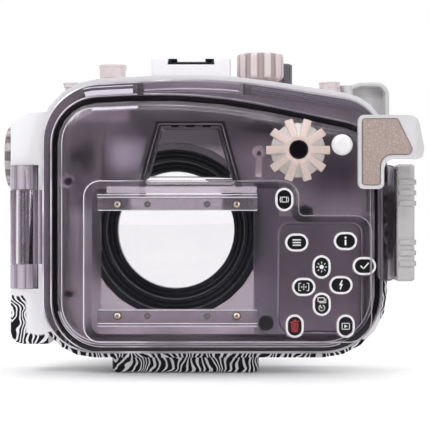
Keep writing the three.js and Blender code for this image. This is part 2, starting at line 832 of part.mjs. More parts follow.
function rearLid() {
  const shell = cut(lidBlank(), lidCavity());
  const pocketShell = stack(pocketCorners, [[-roofRise, -pocketThick], [pocketInner, -pocketThick]]);
  const shelled = join(shell, pocketShell.intersect(lidBlank()));
  const sunk = cut(shelled, pocketCut());
  const hump = stack(humpCorners, [
    [-humpRise, humpDraft + fineEdge], [-humpRise + edge, humpDraft], [-pocketRise + gap, 0],
  ]);
  const humpRoom = stack(humpCorners, [
    [-humpRise + humpThick, humpWall + humpDraft], [roofInner, humpWall], [overrun, humpWall],
  ]);
  const groove = hoop(sealCorners, [
    [-grooveHalf, overrun], [grooveHalf, overrun],
    [grooveHalf, -sealGrooveDepth], [-grooveHalf, -sealGrooveDepth],
  ]);
  const seats = sideBumperPlaces.map(bumperSeat);
  const whole = join(sunk, hump, openingStrip(), lidKnuckle(), latchLug(), domeBoss(), ...seats);
  return cut(
    whole, humpRoom, groove,
    ...sideBumperPlaces.map(bumperRelief),
    ...ovalButtons.map(buttonHole),
    rod('y', [dialX, dialZ], dialShaftRadius + gap, -roofRise - overrun, overrun),
    rod('y', [domeX, domeZ], stemRadius + gap, -roofRise - domeRise - overrun, overrun, tinyRound),
    rod('z', [hingeX, 0], hingePinRadius + gap, lidKnuckleBottom - overrun, lidKnuckleTop + overrun),
  );
}

function domeBoss() {
  return tube('y', [domeX, domeZ], domeRadius + domeBossWall, domeRadius - domeBossWall,
    -roofRise - domeRise, -roofRise + gap, roundSteps);
}

// Solid seats that bring the two left bumpers down to the camera, and the relief beside them.
const sideBumperX = lidLeft + sideBumperFromLid;
const sideBumperPlaces = [
  [sideBumperX, pocketTop],
  [sideBumperX, lowerRailZ + railHeight + bumperAboveRail],
];

function bumperSeat(centre) {
  return rod('y', centre, sideBumperRadius + edge, roofInner - gap, pocketInner, smallRound);
}

function bumperRelief(centre) {
  return rod('y', centre, sideBumperRadius + gap, pocketInner, overrun, smallRound);
}

function mainSeal() {
  const middle = -sealGrooveDepth + gap + sealHalf;
  const section = Array.from({ length: sealSides }, (none, i) => {
    const angle = (i + 0.5) * 2 * Math.PI / sealSides;
    return [sealHalf * Math.cos(angle), middle + sealHalf * Math.sin(angle)];
  });
  return hoop(sealCorners, section);
}

function ovalButton({ centre, width, height, floor }) {
  const back = floor - capLift;
  const front = back - capThick;
  const cap = stack(ovalCorners(centre, width, height), [
    [front, edge], [front + edge, 0], [back, 0],
  ]);
  const dish = stack(ovalCorners(centre, width, height), [
    [front - overrun, capRimWidth], [front + capRecess, capRimWidth],
  ]);
  return join(cut(cap, dish), buttonStem(centre, back, pocketInner));
}

// The stem behind a cap, with the disc that keeps it in the lid.
function buttonStem(centre, back, inner) {
  return turned('y', centre, [
    [0, back - gap],
    [stemRadius, back - gap],
    [stemRadius, inner + gap],
    [stemDiscRadius, inner + gap],
    [stemDiscRadius, inner + gap + stemDiscThick],
    [stemRadius, inner + gap + stemDiscThick],
    [stemRadius, inner + gap + stemDiscThick + stemTail],
    [0, inner + gap + stemDiscThick + stemTail],
  ], tinyRound);
}

function domeButton() {
  const back = -roofRise - domeRise - pushTravel - gap;
  const crown = Array.from({ length: crownSteps + 1 }, (none, i) => {
    const angle = i * Math.PI / 2 / crownSteps;
    return [domeRadius * Math.sin(angle), back - domeRim - (domeHeight - domeRim) * Math.cos(angle)];
  });
  const cap = turned('y', [domeX, domeZ], [...crown, [domeRadius, back], [0, back]], roundSteps);
  return join(cap, buttonStem([domeX, domeZ], back, roofInner));
}

// Rear dial: a cone with radial ribs, a black cap in its hub and a shaft with a friction wheel

function rearDialKnob() {
  const base = -roofRise - overrun;
  const front = base - dialHeight;
  const shoulder = base - dialRim;
  const body = turned('y', [0, 0], [
    [0, front], [dialHubRadius, front], [dialHubRadius + edge, front + edge],
    [dialRadius - fineEdge, shoulder], [dialRadius, shoulder + edge], [dialRadius, base], [0, base],
  ], roundSteps);
  const ribSide = [
    [dialHoleRadius + fineEdge, front + edge], [dialHubRadius + edge, front + edge - dialRibProud / 2],
    [dialRibRadius, shoulder - dialRibProud], [dialRibRadius, base - gap],
    [dialHoleRadius + fineEdge, base - gap],
  ].map(([out, along]) => new THREE.Vector2(out, along));
  const half = dialRibWidth / 2;
  const root = half * dialRibRootShare;
  const bar = prism('z', ribSide, -half, half);
  const taper = prism('y', [[0, -root], [dialRibRadius, -half], [dialRibRadius, half], [0, root]]
    .map(([out, up]) => new THREE.Vector2(out, up)), front - overrun, base + overrun);
  const rib = bar.intersect(taper);
  const ribs = Array.from({ length: knobRibs }, (none, i) => rib.rotate([0, i * 360 / knobRibs, 0]));
  const hole = rod('y', [0, 0], dialHoleRadius, front - overrun, front + dialHeight / 2, roundSteps);
  const bore = rod('y', [0, 0], dialShaftRadius - gap, front, base + overrun);
  return cut(join(body, ...ribs), hole, bore).translate([dialX, 0, dialZ]);
}

function rearDialCap() {
  const front = -roofRise - overrun - dialHeight;
  const radius = dialHoleRadius - gap;
  return turned('y', [dialX, dialZ], [
    [0, front + capRecess * 2], [radius - gap, front + capRecess * 2],
    [radius, front + capRecess * 3], [radius, front + dialHeight / 2 - gap],
    [0, front + dialHeight / 2 - gap],
  ], roundSteps);
}

function rearDialShaft() {
  const front = -roofRise - overrun - dialHeight / 2;
  const end = roofInner + gap * 3 + dialWheelThick;
  const neck = dialShaftRadius - gap * 2;
  return turned('y', [dialX, dialZ], [
    [0, front + gap * 2], [neck, front + gap * 2], [neck, -roofRise - overrun + gap],
    [dialShaftRadius, -roofRise - overrun + gap], [dialShaftRadius, roofInner + gap * 2],
    [neck, roofInner + gap * 2], [neck, end], [0, end],
  ], smallRound);
}

function rearDialWheel() {
  const back = roofInner + gap * 3;
  return tube('y', [dialX, dialZ], dialWheelRadius, dialShaftRadius - gap, back,
    back + dialWheelThick, roundSteps);
}

// Screen hood rails: an angle section along X with screw holes

function screenRail(middleZ, lipUp) {
  const floor = -pocketRise - gap;
  const side = lipUp ? 1 : -1;
  const half = railHeight / 2;
  const section = [
    [floor, -half * side], [floor - railBase, -half * side],
    [floor - railBase, (half - railLipThick) * side],
    [floor - railLipRise, (half - railLipThick) * side],
    [floor - railLipRise, half * side], [floor, half * side],
  ].map(([y, z]) => new THREE.Vector2(y, middleZ + z));
  const left = windowLeft - railOverhang;
  const railLength = windowRight + railOverhang - left;
  const bar = prism('x', section, left, left + railLength);
  const holes = railHoleShares.map((share) => rod(
    'y', [left + share * railLength, middleZ - side * railLipThick / 2], railHoleRadius,
    floor - railBase - overrun, floor + overrun, tinyRound));
  return cut(bar, ...holes);
}

// Bumpers inside the lid

function bumper(centre, radius, inner) {
  const back = inner + gap;
  const front = -bumperFree;
  return turned('y', centre, [
    [0, back], [radius, back], [radius, front - edge], [radius - edge, front], [0, front],
  ], smallRound);
}

// Thumb rest: an outline in X and Z met by a band that curls forward at its right end

const thumbBack = -roofRise - gap;
const thumbFace = thumbBack - thumbThick;
const thumbLegRight = thumbLeft + thumbLegWidth;
const thumbLegBottom = thumbTop - thumbLegHeight;
const thumbWingRight = thumbLeft + thumbWingWidth;
const thumbWingBottom = thumbTop - thumbWingHeight;
const thumbKneeZ = thumbTop - thumbWingHeight * thumbKneeShare;
const thumbCorners = [
  [thumbLeft, thumbTop, thumbRound, crownSteps],
  [thumbLeft + thumbWingWidth * thumbWingTopShare, thumbTop, thumbRound * 2, cornerSteps],
  [thumbWingRight, thumbKneeZ, thumbRound * 2, crownSteps],
  [thumbWingRight - thumbRound / 2, thumbWingBottom, thumbRound, crownSteps],
  [thumbLegRight, thumbWingBottom, thumbInnerRound, cornerSteps],
  [thumbLegRight, thumbLegBottom, thumbRound, crownSteps],
  [thumbLeft, thumbLegBottom, thumbRound, crownSteps],
];
const thumbPadLeft = thumbLeft + thumbPadMargin;
const thumbPadTop = thumbTop - thumbPadMargin;
const thumbPadKneeX = thumbLeft + thumbWingWidth * thumbPadKneeShare;
const thumbPadCorners = [
  [thumbPadLeft, thumbPadTop, thumbRound / 2, crownSteps],
  [thumbLeft + thumbWingWidth * thumbPadTopShare, thumbPadTop, thumbRound / 2, crownSteps],
  [thumbPadKneeX, thumbKneeZ, thumbRound / 2, crownSteps],
  [thumbPadKneeX - thumbRound / 2, thumbWingBottom + thumbPadMargin, thumbRound / 2, crownSteps],
  [thumbLegRight - thumbPadMargin, thumbWingBottom + thumbPadMargin, thumbInnerRound, cornerSteps],
  [thumbLegRight - thumbPadMargin, thumbLegBottom + thumbPadMargin, thumbRound / 2, crownSteps],
  [thumbPadLeft, thumbLegBottom + thumbPadMargin, thumbRound / 2, crownSteps],
];

// The band in X and Y: flat at first, then bent forward round a centre in front of it.
function thumbBand(faceY, thick) {
  const centreY = thumbFace + thumbCurlRadius + thumbThick;
  const curlStart = thumbLeft + thumbWingWidth * thumbCurlStartShare;
  const outer = centreY - faceY;
  const inner = outer - thick;
  const arc = (radius) => Array.from({ length: cornerSteps + 1 }, (none, i) => {
    const angle = i / cornerSteps * thumbCurlTurn * Math.PI / 180;
    return new THREE.Vector2(
      curlStart + radius * Math.sin(angle), centreY - radius * Math.cos(angle));
  });
  return [
    new THREE.Vector2(thumbLeft - overrun, faceY), ...arc(outer),
    ...arc(inner).reverse(), new THREE.Vector2(thumbLeft - overrun, faceY + thick),
  ];
}

function thumbRestFrame() {
  const low = thumbLegBottom - overrun;
  const high = thumbTop + overrun;
  const sheet = prism('y', outline(thumbCorners), thumbFace - overrun, 0);
  const band = prism('z', thumbBand(thumbFace, thumbThick), low, high);
  const padSheet = prism('y', outline(thumbPadCorners, -gap), thumbFace - overrun, 0);
  const padBand = prism('z', thumbBand(thumbFace - overrun, thumbPadSink + overrun), low, high);
  const hollow = prism('y', outline(rectangle(
    [thumbLeft + thumbRound, thumbLegBottom + thumbRound],
    [thumbLegRight - thumbRound, thumbTop - thumbRound], thumbRound / 2)),
  thumbFace + thumbPadSink + thumbRound, overrun);
  return cut(sheet.intersect(band), padSheet.intersect(padBand), hollow);
}

function thumbRestPad() {
  const low = thumbLegBottom - overrun;
  const high = thumbTop + overrun;
  const face = thumbFace + thumbPadSink - gap - thumbPadThick;
  const sheet = stack(thumbPadCorners, [
    [face - overrun, gap], [thumbFace - gap, gap], [thumbFace, 0], [0, 0],
  ]);
  return sheet.intersect(prism('z', thumbBand(face, thumbPadThick), low, high));
}

// Front case

function caseBody() {
  const body = stack(lidCorners, [
    [partingGap * 2, bodyInset],
    ...caseRoundShares.map(([deep, inset]) => [
      caseFront - deep * caseRound, bodyInset + caseDraft + inset * caseRound]),
  ]);
  const rim = stack(lidCorners, [
    [partingGap, -caseProud], [partingGap + rimDeep - edge, -caseProud],
    [partingGap + rimDeep, -caseProud + edge],
  ]);
  return join(body, rim);
}

function caseCavity() {
  const mouth = stack(sealCorners, [[0, sealFaceWidth], [rimDeep + overrun * 2, sealFaceWidth]]);
  const inset = bodyInset + caseWall;
  const room = stack(lidCorners, [
    [rimDeep + overrun, inset],
    ...caseInnerShares.map(([deep, round]) => [
      caseInnerFront - deep * caseRound, inset + caseDraft + round * caseRound]),
  ]);
  return join(mouth, room);
}

function hingeBlock() {
  const right = lidLeft + sealFromLeft / 2;
  const low = blockBottom + lidBottomZ;
  const shape = (left) => [
    [left, low, blockCorner, crownSteps],
    [right, low, fineEdge, 1],
    [right, blockTop, fineEdge, 1],
    [(left + right) / 2, blockTop - fineEdge, blockCorner, crownSteps],
    [left, blockTop - blockSlope, blockCorner / 2, crownSteps],
  ];
  const rear = stack(shape(blockLeft), [
    [partingGap, edge], [partingGap + edge, 0], [blockDeep - edge, 0], [blockDeep, edge],
  ]);
  const shoulder = stack(shape(shoulderLeft), [
    [blockDeep / 2, 0], [blockShoulderDeep - caseRound / 2, 0], [blockShoulderDeep, caseRound / 3],
  ]);
  return join(rear, shoulder);
}

function foot() {
  const over = bodyBottom + footTopOver;
  const half = footWidth / 2;
  const ring = (inset) => outline(rectangle(
    [-half, footBackY], [half, footBackY + footDeep], footEdge * 2), inset);
  return loft('z', [
    { at: 0, points: ring(footEdge) },
    { at: footEdge / 3, points: ring(footEdge / 3) },
    { at: footEdge, points: ring(0) },
    { at: over, points: ring(0) },
  ]);
}

function shoePlatform() {
  const half = shoePlatformWidth / 2;
  const corners = rectangle(
    [shoePlatformX - half, shoePlatformBackY],
    [shoePlatformX + half, shoePlatformBackY + shoePlatformDeep], shoePlatformRound);
  const base = lidTopZ - sealDropCrown;
  return loft('z', [
    { at: base, points: outline(corners) },
    { at: shoePlatformTop - softEdge, points: outline(corners) },
    { at: shoePlatformTop, points: outline(corners, edge) },
  ]);
}

// The height of the case's top skin above a place, following the two slopes of the lid's top.
function caseTopAt(x) {
  const left = lidLeftTopZ + (lidTopZ - lidLeftTopZ) * (x - lidLeft) / (crownX - lidLeft);
  const right = lidTopZ + (lidRightTopZ - lidTopZ) * (x - crownX) / (lidRight - crownX);
  return Math.min(left, right) - bodyInset;
}

function topBoss(x, y, radius, top) {
  const low = caseTopAt(x) - caseWall * 2;
  return turned('z', [x, y], [
    [0, low], [radius, low], [radius, top - edge], [radius - edge, top], [0, top],
  ], smallRound);
}

const topButtons = [
  { ...leftButton, name: 'button_top_left', x: leftButtonX },
  { ...smallButton, name: 'button_top_small', x: smallButtonX },
  { ...rightButton, name: 'button_top_right', x: rightButtonX },
].map((button) => ({ ...button, bottom: caseTopAt(button.x) + button.rise }));
const topBossTop = ({ bottom }) => bottom - topTravel - gap;

function frontCase() {
  const portBossFront = caseFront + portBossLength;
  const portBoss = rod('y', [lensX, lensZ], portBossRadius, caseInnerFront, portBossFront, fineRound);
  const knobBossTop = modeKnobBottom - gap;
  const solids = join(
    caseBody(), hingeBlock(), foot(), shoePlatform(), portBoss,
    topBoss(modeX, controlY, modeKnobRadius * knobFootShare, knobBossTop),
    topBoss(plugX, plugY, plugRadius + edge, plugBottom - gap),
    ...topButtons.map((button) => topBoss(
      button.x, controlY, button.collar + topBossWall, topBossTop(button))),
  );
  const notch = block(
    [blockLeft - overrun, 0, hingeBottomZ - gap],
    [lidLeft - caseProud + gap, bracketY + bracketThick + gap, hingeTopZ + gap]);
  const shoeHalf = shoeWidth / 2 + gap;
  const shoeFloor = shoePlatformTop - shoeBelowTop - shoeHeight - gap;
  const shoeRecess = block(
    [shoePlatformX - shoeHalf, shoePlatformBackY - overrun, shoeFloor],
    [shoePlatformX + shoeHalf, shoePlatformBackY + shoeDeep + gap, shoePlatformTop + overrun]);
  const topBores = topButtons.flatMap(({ x, collar, bottom }) => [
    rod('z', [x, controlY], collar + gap, collarEnd(x) - gap - topTravel, bottom + overrun),
    rod('z', [x, controlY], topStemRadius + gap, collarEnd(x) - topStemDrop, bottom, tinyRound),
  ]);
  return cut(
    solids, caseCavity(), notch, shoeRecess, ...topBores,
    rod('y', [lensX, lensZ], portHoleRadius, caseInnerFront - caseRound, portBossFront + overrun, fineRound),
    tube('y', [lensX, lensZ], portSealOuter, portSealInner, portBossFront - portSealThick,
      portBossFront + overrun, fineRound),
    rod('z', [modeX, controlY], modeShaftRadius + gap, caseTopAt(modeX) - caseWall * 4, modeKnobBottom),
    rod('z', [plugX, plugY], plugStemRadius + gap, plugBottom - plugStemLength - gap, plugBottom + overrun),
    rod('x', [zoomY, zoomZ], zoomShaftRadius + gap, shoulderLeft - overrun, sealLeft + caseWall * 2),
    rod('z', [shutterX, shutterPivotY], shutterShaftRadius + gap, caseTopAt(shutterX) - caseWall * 4,
      lidTopZ),
    rod('z', [lensX, footCentreY - tripodBack], tripodBushRadius + gap, -overrun,
      tripodBushLength + gap * 2),
  );
}

function collarEnd(x) {
  return caseTopAt(x) - caseWall;
}

// Hinge bracket and pin

function hingeBracket() {
  const knuckle = (low, high) => join(
    rod('z', [hingeX, 0], hingeRadius, low, high, roundSteps),
    block([hingeX - hingeRadius * bracketArmShare, 0, low],
      [hingeX + hingeRadius * bracketArmShare, bracketY + gap, high]));
  const plate = block(
    [hingeX - hingeRadius, bracketY, hingeBottomZ],
    [lidLeft - caseProud - gap, bracketY + bracketThick, hingeTopZ]);
  const ends = [
    knuckle(hingeBottomZ, hingeBottomZ + hingeEndKnuckle),
    knuckle(hingeTopZ - hingeEndKnuckle, hingeTopZ),
  ];
  return cut(
    join(plate, ...ends),
    rod('z', [hingeX, 0], hingePinRadius + gap, hingeBottomZ - overrun, hingeTopZ + overrun));
}

function hingePin() {
  return rod('z', [hingeX, 0], hingePinRadius, hingeBottomZ + gap, hingeTopZ - gap);
}

// Latch: base on the case, lever, claw on its pin, and the slide that locks the lever

function latchBase() {
  const plateLeft = lidRight + caseProud + gap;
  const low = leverBottomZ + leverKnuckle + gap;
  const high = leverTopZ - leverKnuckle - gap;
  const sideLeft = lidRight - bodyInset + gap;
  const plate = block(
    [plateLeft, leverPivotY - latchBaseDeep / 2, low],
    [plateLeft + latchBaseThick, leverPivotY + latchLugRadius, high]);
  const seat = block(
    [sideLeft, partingGap + rimDeep + gap, low + leverKnuckle / 2],
    [plateLeft + gap, leverPivotY + latchLugRadius, high - leverKnuckle / 2]);
  const barrel = rod('z', [leverPivotX, leverPivotY], latchLugRadius, low, high);
  const arm = block(
    [plateLeft, leverPivotY - latchLugRadius * latchArmShare, low],
    [leverPivotX, leverPivotY + latchLugRadius, high]);
  return cut(
    join(plate, seat, barrel, arm),
    rod('z', [leverPivotX, leverPivotY], latchPinRadius + gap, low - overrun, high + overrun));
}

function latchPin() {
  return rod('z', [leverPivotX, leverPivotY], latchPinRadius, leverBottomZ + gap, leverTopZ - gap);
}

function latchLever() {
  const inner = leverInner;
  const noseCorners = [
    [inner, leverBackY, edge, 1],
    [leverOuter, leverBackY, leverRound, crownSteps],
    [leverOuter, leverFrontY, leverThick / 2 - gap, cornerSteps],
    [inner, leverFrontY, leverThick / 2 - gap, cornerSteps],
  ];
  const body = loft('z', [
    { at: leverBottomZ, points: outline(noseCorners, leverEdge) },
    { at: leverBottomZ + leverEdge, points: outline(noseCorners) },
    { at: leverTopZ - leverEdge, points: outline(noseCorners) },
    { at: leverTopZ, points: outline(noseCorners, leverEdge) },
  ]);
  const roomFront = leverPivotY - latchLugRadius - gap * 2;
  const room = block(
    [inner - overrun, leverBackY + leverSkin, leverBottomZ + leverSkin],
    [leverOuter - leverSkin, roomFront, leverTopZ - leverSkin]);
  const lugRoom = block(
    [inner - overrun, roomFront - gap, leverBottomZ + leverKnuckle],
    [leverOuter + overrun, leverFrontY + overrun, leverTopZ - leverKnuckle]);
  const half = clawHeight / 2 + gap;
  const web = (low) => block(
    [inner + gap, clawPivotY - clawKnuckleRadius - clawWebThick, low],
    [leverOuter - leverSkin / 2, clawPivotY + clawKnuckleRadius + clawWebThick, low + clawWebThick]);
  const webs = join(web(latchZ - half - clawWebThick), web(latchZ + half));
  const ribs = leverRibPlaces().map((z) => join(
    block([leverOuter - leverSkin, leverBackY + leverSkin, z - leverRibWide / 2],
      [leverOuter + leverRibDeep, leverPivotY - leverThick, z + leverRibWide / 2]),
    block([inner + leverRound / 2, leverBackY - leverRibDeep, z - leverRibWide / 2],
      [leverOuter - gap, leverBackY + leverSkin, z + leverRibWide / 2])));
  const pocket = block(
    [leverOuter - slidePocketDeep, slideFromRearY, latchZ - slidePocketHeight / 2],
    [leverOuter + overrun, slideFromRearY + slidePocketWide, latchZ + slidePocketHeight / 2]);
  return cut(
    join(cut(body, room, lugRoom), webs, ...ribs), pocket,
    rod('z', [leverPivotX, leverPivotY], latchPinRadius + gap, leverBottomZ - overrun, leverTopZ + overrun),
    rod('z', [clawPivotX, clawPivotY], clawPinRadius + gap,
      latchZ - half - clawWebThick - overrun, latchZ + half + clawWebThick + overrun, tinyRound));
}

// Heights of the finger ribs: three near each end of the lever.
function leverRibPlaces() {
  const ends = [0, 1, 2].map((i) => leverRibInset + i * leverRibPitch);
  return [...ends.map((z) => leverTopZ - z), ...ends.map((z) => leverBottomZ + z)];
}

function latchClaw() {
  const low = latchZ - clawHeight / 2;
  const high = latchZ + clawHeight / 2;
  const plateInner = lugRight + leverStandOff + gap;
  const hookBack = clawFrontY - clawHook;
  const points = [
    [plateInner, clawPivotY], [plateInner, clawFrontY], [lugRight - clawBite, clawFrontY],
    [lugRight - clawBite, hookBack + edge], [lugRight - clawBite + edge, hookBack],
    [plateInner + clawPlate, hookBack], [plateInner + clawPlate, clawPivotY],
  ].map(([x, y]) => new THREE.Vector2(x - clawPivotX, y - clawPivotY));
  const plate = prism('z', points, low, high);
  const knuckle = rod('z', [0, 0], clawKnuckleRadius, low, high);
  const bore = rod('z', [0, 0], clawPinRadius + gap, low - overrun, high + overrun, tinyRound);
  return cut(join(plate, knuckle), bore)
    .rotate([0, 0, clawRestTurn])
    .translate([clawPivotX, clawPivotY, 0]);
}

function latchClawPin() {
  const half = clawHeight / 2 + gap + clawWebThick;
  return rod('z', [clawPivotX, clawPivotY], clawPinRadius, latchZ - half, latchZ + half, tinyRound);
}

function latchSlide() {
  const left = leverOuter - slidePocketDeep + gap;
  const low = latchZ - slidePocketHeight / 2 + gap;
  const back = slideFromRearY + gap;
  const front = slideFromRearY + slidePocketWide - gap;
  const plate = block([left, back, low], [leverOuter, front, low + slideLength]);
  const ribs = slideRibShares.map((share) => block(
    [left, back + overrun, low + share * slideLength - fineEdge],
    [leverOuter + edge, front - overrun, low + share * slideLength + edge]));
  return join(plate, ...ribs);
}

// Lens port: barrel with stepped bores, seal, glass and threaded retaining ring

const portSeatY = caseFront + portBossLength + gap;
const portFrontY = portSeatY + portFlangeThick + portTubeLength;
const portGlassY = portFrontY - portRingThick - portGlassThick - gap * 2;

function portBarrel() {
  const inside = caseInnerFront + gap;
  const bores = [
    [portFirstBore, portSeatY + portFlangeThick * 2],
    [portSecondBore, (portSeatY + portGlassY) / 2 + portFlangeThick],
  ];
  const seat = portGlassY - gap;
  const profile = [
    [portFirstBore, inside],
    [portHoleRadius - gap, inside],
    [portHoleRadius - gap, portSeatY],
    [portBossRadius, portSeatY],
    [portBossRadius, portSeatY + portFlangeThick],
    [portTubeRadius, portSeatY + portFlangeThick],
    [portTubeRadius, portFrontY - portLipLength - overrun],
    [portLipRadius, portFrontY - portLipLength],
    [portLipRadius, portFrontY - softEdge],
    [portLipRadius - softEdge, portFrontY],
    [portGlassRadius + gap, portFrontY],
    [portGlassRadius + gap, seat],
    [portThirdBore, seat],
    [portThirdBore, bores[1][1]],
    [portSecondBore, bores[1][1]],
    [portSecondBore, bores[0][1]],
    [portFirstBore, bores[0][1]],
    [portFirstBore, inside],
  ];
  const barrel = turned('y', [0, 0], profile, fineRound);
  const notch = rod('y', [portLipRadius + portFluteOut, 0], portFluteRadius,
    portFrontY - portLipLength - overrun * 2, portFrontY + overrun, crownSteps * 2);
  const notches = Array.from({ length: portFlutes }, (none, i) => (
    notch.rotate([0, (i + 0.5) * 360 / portFlutes, 0])));
  return cut(barrel, ...notches).translate([lensX, 0, lensZ]);
}

function portSeal() {
  const inner = portSealInner + gap;
  const outer = inner + portSealThick;
  const low = caseFront + portBossLength - portSealThick + gap;
  return turned('y', [lensX, lensZ], [
    [inner, low], [outer, low], [outer, portSeatY - gap - edge], [outer - edge, portSeatY - gap],
    [inner, portSeatY - gap], [inner, low],
  ], fineRound);
}

function portGlass() {
  return rod('y', [lensX, lensZ], portGlassRadius, portGlassY, portGlassY + portGlassThick, fineRound);
}

function portRetainingRing() {
  const low = portGlassY + portGlassThick + gap;
  return turned('y', [lensX, lensZ], [
    [portThirdBore + overrun, low], [portGlassRadius, low], [portGlassRadius, portFrontY - gap],
    [portThirdBore + overrun * 2, portFrontY - gap], [portThirdBore + overrun, low],
  ], fineRound);
}

// Cold shoe insert: base, two side walls and two lips over the slot

function coldShoe() {
  const half = shoeWidth / 2;
  const low = shoePlatformTop - shoeBelowTop - shoeHeight;
  const section = [
    [-half, 0], [half, 0], [half, shoeHeight], [shoeSlotWidth / 2, shoeHeight],
    [shoeSlotWidth / 2, shoeHeight - shoeLip], [half - shoeRail, shoeHeight - shoeLip],
    [half - shoeRail, shoeBase], [-half + shoeRail, shoeBase],
    [-half + shoeRail, shoeHeight - shoeLip], [-shoeSlotWidth / 2, shoeHeight - shoeLip],
    [-shoeSlotWidth / 2, shoeHeight], [-half, shoeHeight],
  ].map(([x, z]) => new THREE.Vector2(shoePlatformX + x, low + z));
  return prism('y', section, shoePlatformBackY, shoePlatformBackY + shoeDeep);
}

// Controls on the case

function modeKnob() {
  return flutedKnob(modeKnobRadius, modeKnobHeight, modeShaftRadius + gap / 2, modeKnobHeight / 2)
    .translate([modeX, controlY, modeKnobBottom]);
}

function modeShaft() {
  const end = modeKnobBottom - modeShaftDrop;
  return turned('z', [modeX, controlY], [
    [0, end], [modeDrumRadius - gap, end], [modeDrumRadius, end + gap],
    [modeDrumRadius, end + modeDrumLength], [modeShaftRadius, end + modeDrumLength],
    [modeShaftRadius, modeKnobBottom + modeKnobHeight / 2 - gap],
    [0, modeKnobBottom + modeKnobHeight / 2 - gap],
  ], smallRound);
}

function accessoryPlug() {
  const cap = turned('z', [0, 0], [
    [0, -plugStemLength], [plugStemRadius, -plugStemLength], [plugStemRadius, 0], [plugRadius, 0],
    [plugRadius, plugHeight - edge], [plugRadius - edge, plugHeight], [0, plugHeight],
  ], roundSteps);
  const flute = rod('z', [plugRadius + plugFluteOut, 0], plugFluteRadius, softEdge, plugHeight + overrun,
    crownSteps * 2);
  const flutes = Array.from({ length: knobRibs }, (none, i) => flute.rotate([0, 0, i * 360 / knobRibs]));
  const slot = block(
    [-plugRadius, -overrun / 2, plugHeight - overrun],
    [plugRadius, overrun / 2, plugHeight + overrun]);
  return cut(cap, ...flutes, slot).translate([plugX, plugY, plugBottom]);
}

function topButton({ x, cap, collar, bottom, height }) {
  const low = collarEnd(x);
  return turned('z', [x, controlY], [
    [0, low - topStemDrop], [topStemRadius, low - topStemDrop], [topStemRadius, low],
    [collar, low], [collar, bottom], [cap, bottom],
    [cap, bottom + height - edge], [cap - edge, bottom + height], [0, bottom + height],
  ], smallRound);
}

function zoomKnob() {
  const bore = zoomKnobLength * zoomBoreShare;
  return flutedKnob(zoomKnobRadius, zoomKnobLength, zoomShaftRadius + gap / 2, bore)
    .rotate([0, -90, 0])
    .translate([shoulderLeft - gap, zoomY, zoomZ]);
}

// The shaft that the zoom knob turns, with the gear that drives the lens ring.
function zoomShaft() {
  const outer = shoulderLeft - zoomKnobLength * zoomBoreShare;
  const inner = sealLeft + sealFaceWidth + zoomShaftInside;
  const shaft = rod('x', [zoomY, zoomZ], zoomShaftRadius, outer, inner);
  const face = [];
  const pitch = 2 * Math.PI / zoomGearTeeth;
  for (let i = 0; i < zoomGearTeeth; i += 1) {
    toothShares.forEach(([turn, share]) => {
      const angle = (i + turn) * pitch;
      const radius = zoomGearRadius * share;
      face.push(new THREE.Vector2(zoomY + radius * Math.cos(angle), zoomZ + radius * Math.sin(angle)));
    });
  }
  return join(shaft, prism('x', face, inner - zoomGearLength, inner));
}

const shutterCorners = [
  [shutterX - shutterHubRadius * shutterHubShare, caseTopAt(shutterX) - shutterHubRadius, fineEdge, 1],
  [lidRight + shutterReach, lidBottomZ + shutterBottomShare * lidHeight, shutterRound / 2, crownSteps],
  [lidRight + shutterReach, shutterTop, shutterRound, cornerSteps],
  [shutterX + shutterRound, shutterTop, shutterRound, crownSteps],
  [shutterX - shutterHubRadius * shutterHubShare, shutterTop - shutterRound / 2, softEdge, crownSteps],
];

function shutterLever() {
  const front = shutterBackY + shutterDeep;
  const clearOfCase = stack(lidCorners, [[shutterBackY - shutterDeep, 0], [front + shutterDeep, 0]]);
  const plate = stack(shutterCorners, [
    [shutterBackY, edge], [shutterBackY + edge, 0], [front - softEdge, 0], [front, softEdge],
  ]);
  const hollowShape = stack(shutterCorners, [
    [shutterBackY - overrun, shutterRim], [shutterBackY + shutterHollow, shutterInnerRim],
  ]);
  const rimLine = stack(lidCorners, [
    [shutterBackY - overrun * 2, -shutterRim], [front, -shutterRim],
  ]);
  const hubKeep = rod('z', [shutterX, shutterPivotY], shutterHubRadius, lidBottomZ, lidTopZ, roundSteps);
  const hollow = cut(hollowShape, rimLine, hubKeep);
  const hubLow = caseTopAt(shutterX) + gap * 2;
  const hub = rod('z', [shutterX, shutterPivotY], shutterHubRadius, hubLow, shutterTop - shutterRim,
    roundSteps);
  const bore = rod('z', [shutterX, shutterPivotY], shutterShaftRadius + gap,
    hubLow - overrun, shutterTop - shutterRim * 2);
  return cut(join(cut(plate, clearOfCase, hollow), cut(hub, clearOfCase)), bore);
}

function shutterShaft() {
  const top = shutterTop - shutterRim * 2 - gap;
  const low = caseTopAt(shutterX) - caseWall - shutterArmDrop;
  const shaft = rod('z', [shutterX, shutterPivotY], shutterShaftRadius, low, top);
  const arm = block(
    [shutterX - shutterArmLength, shutterPivotY - shutterArmThick / 2, low],
    [shutterX, shutterPivotY + shutterArmThick / 2, low + shutterArmThick]);
  const pusher = rod('z', [shutterX - shutterArmLength, shutterPivotY], shutterArmThick,
    low, low + shutterArmThick * 2);
  return join(shaft, arm, pusher);
}

// Inside the case and under it

function cameraTray() {
  const low = lidBottomZ + bodyInset + caseWall + caseDraft + trayClear;
  const front = caseDepth - trayFromFront;
  const left = lidLeft + lidLowLeftRadius + trayFromRound;
  const right = lensX + (lensX - left);
  const plate = block([left, trayBackY, low], [right, front, low + trayThick]);
  const rib = (x) => block(
    [x, trayBackY, low], [x + trayRibWide, front, low + trayThick + trayRibHeight]);
  const backRib = block(
    [left, trayBackY, low], [right, trayBackY + trayRibWide, low + trayThick + trayRibHeight / 2]);
  return join(plate, rib(left), rib(right - trayRibWide), backRib);
}

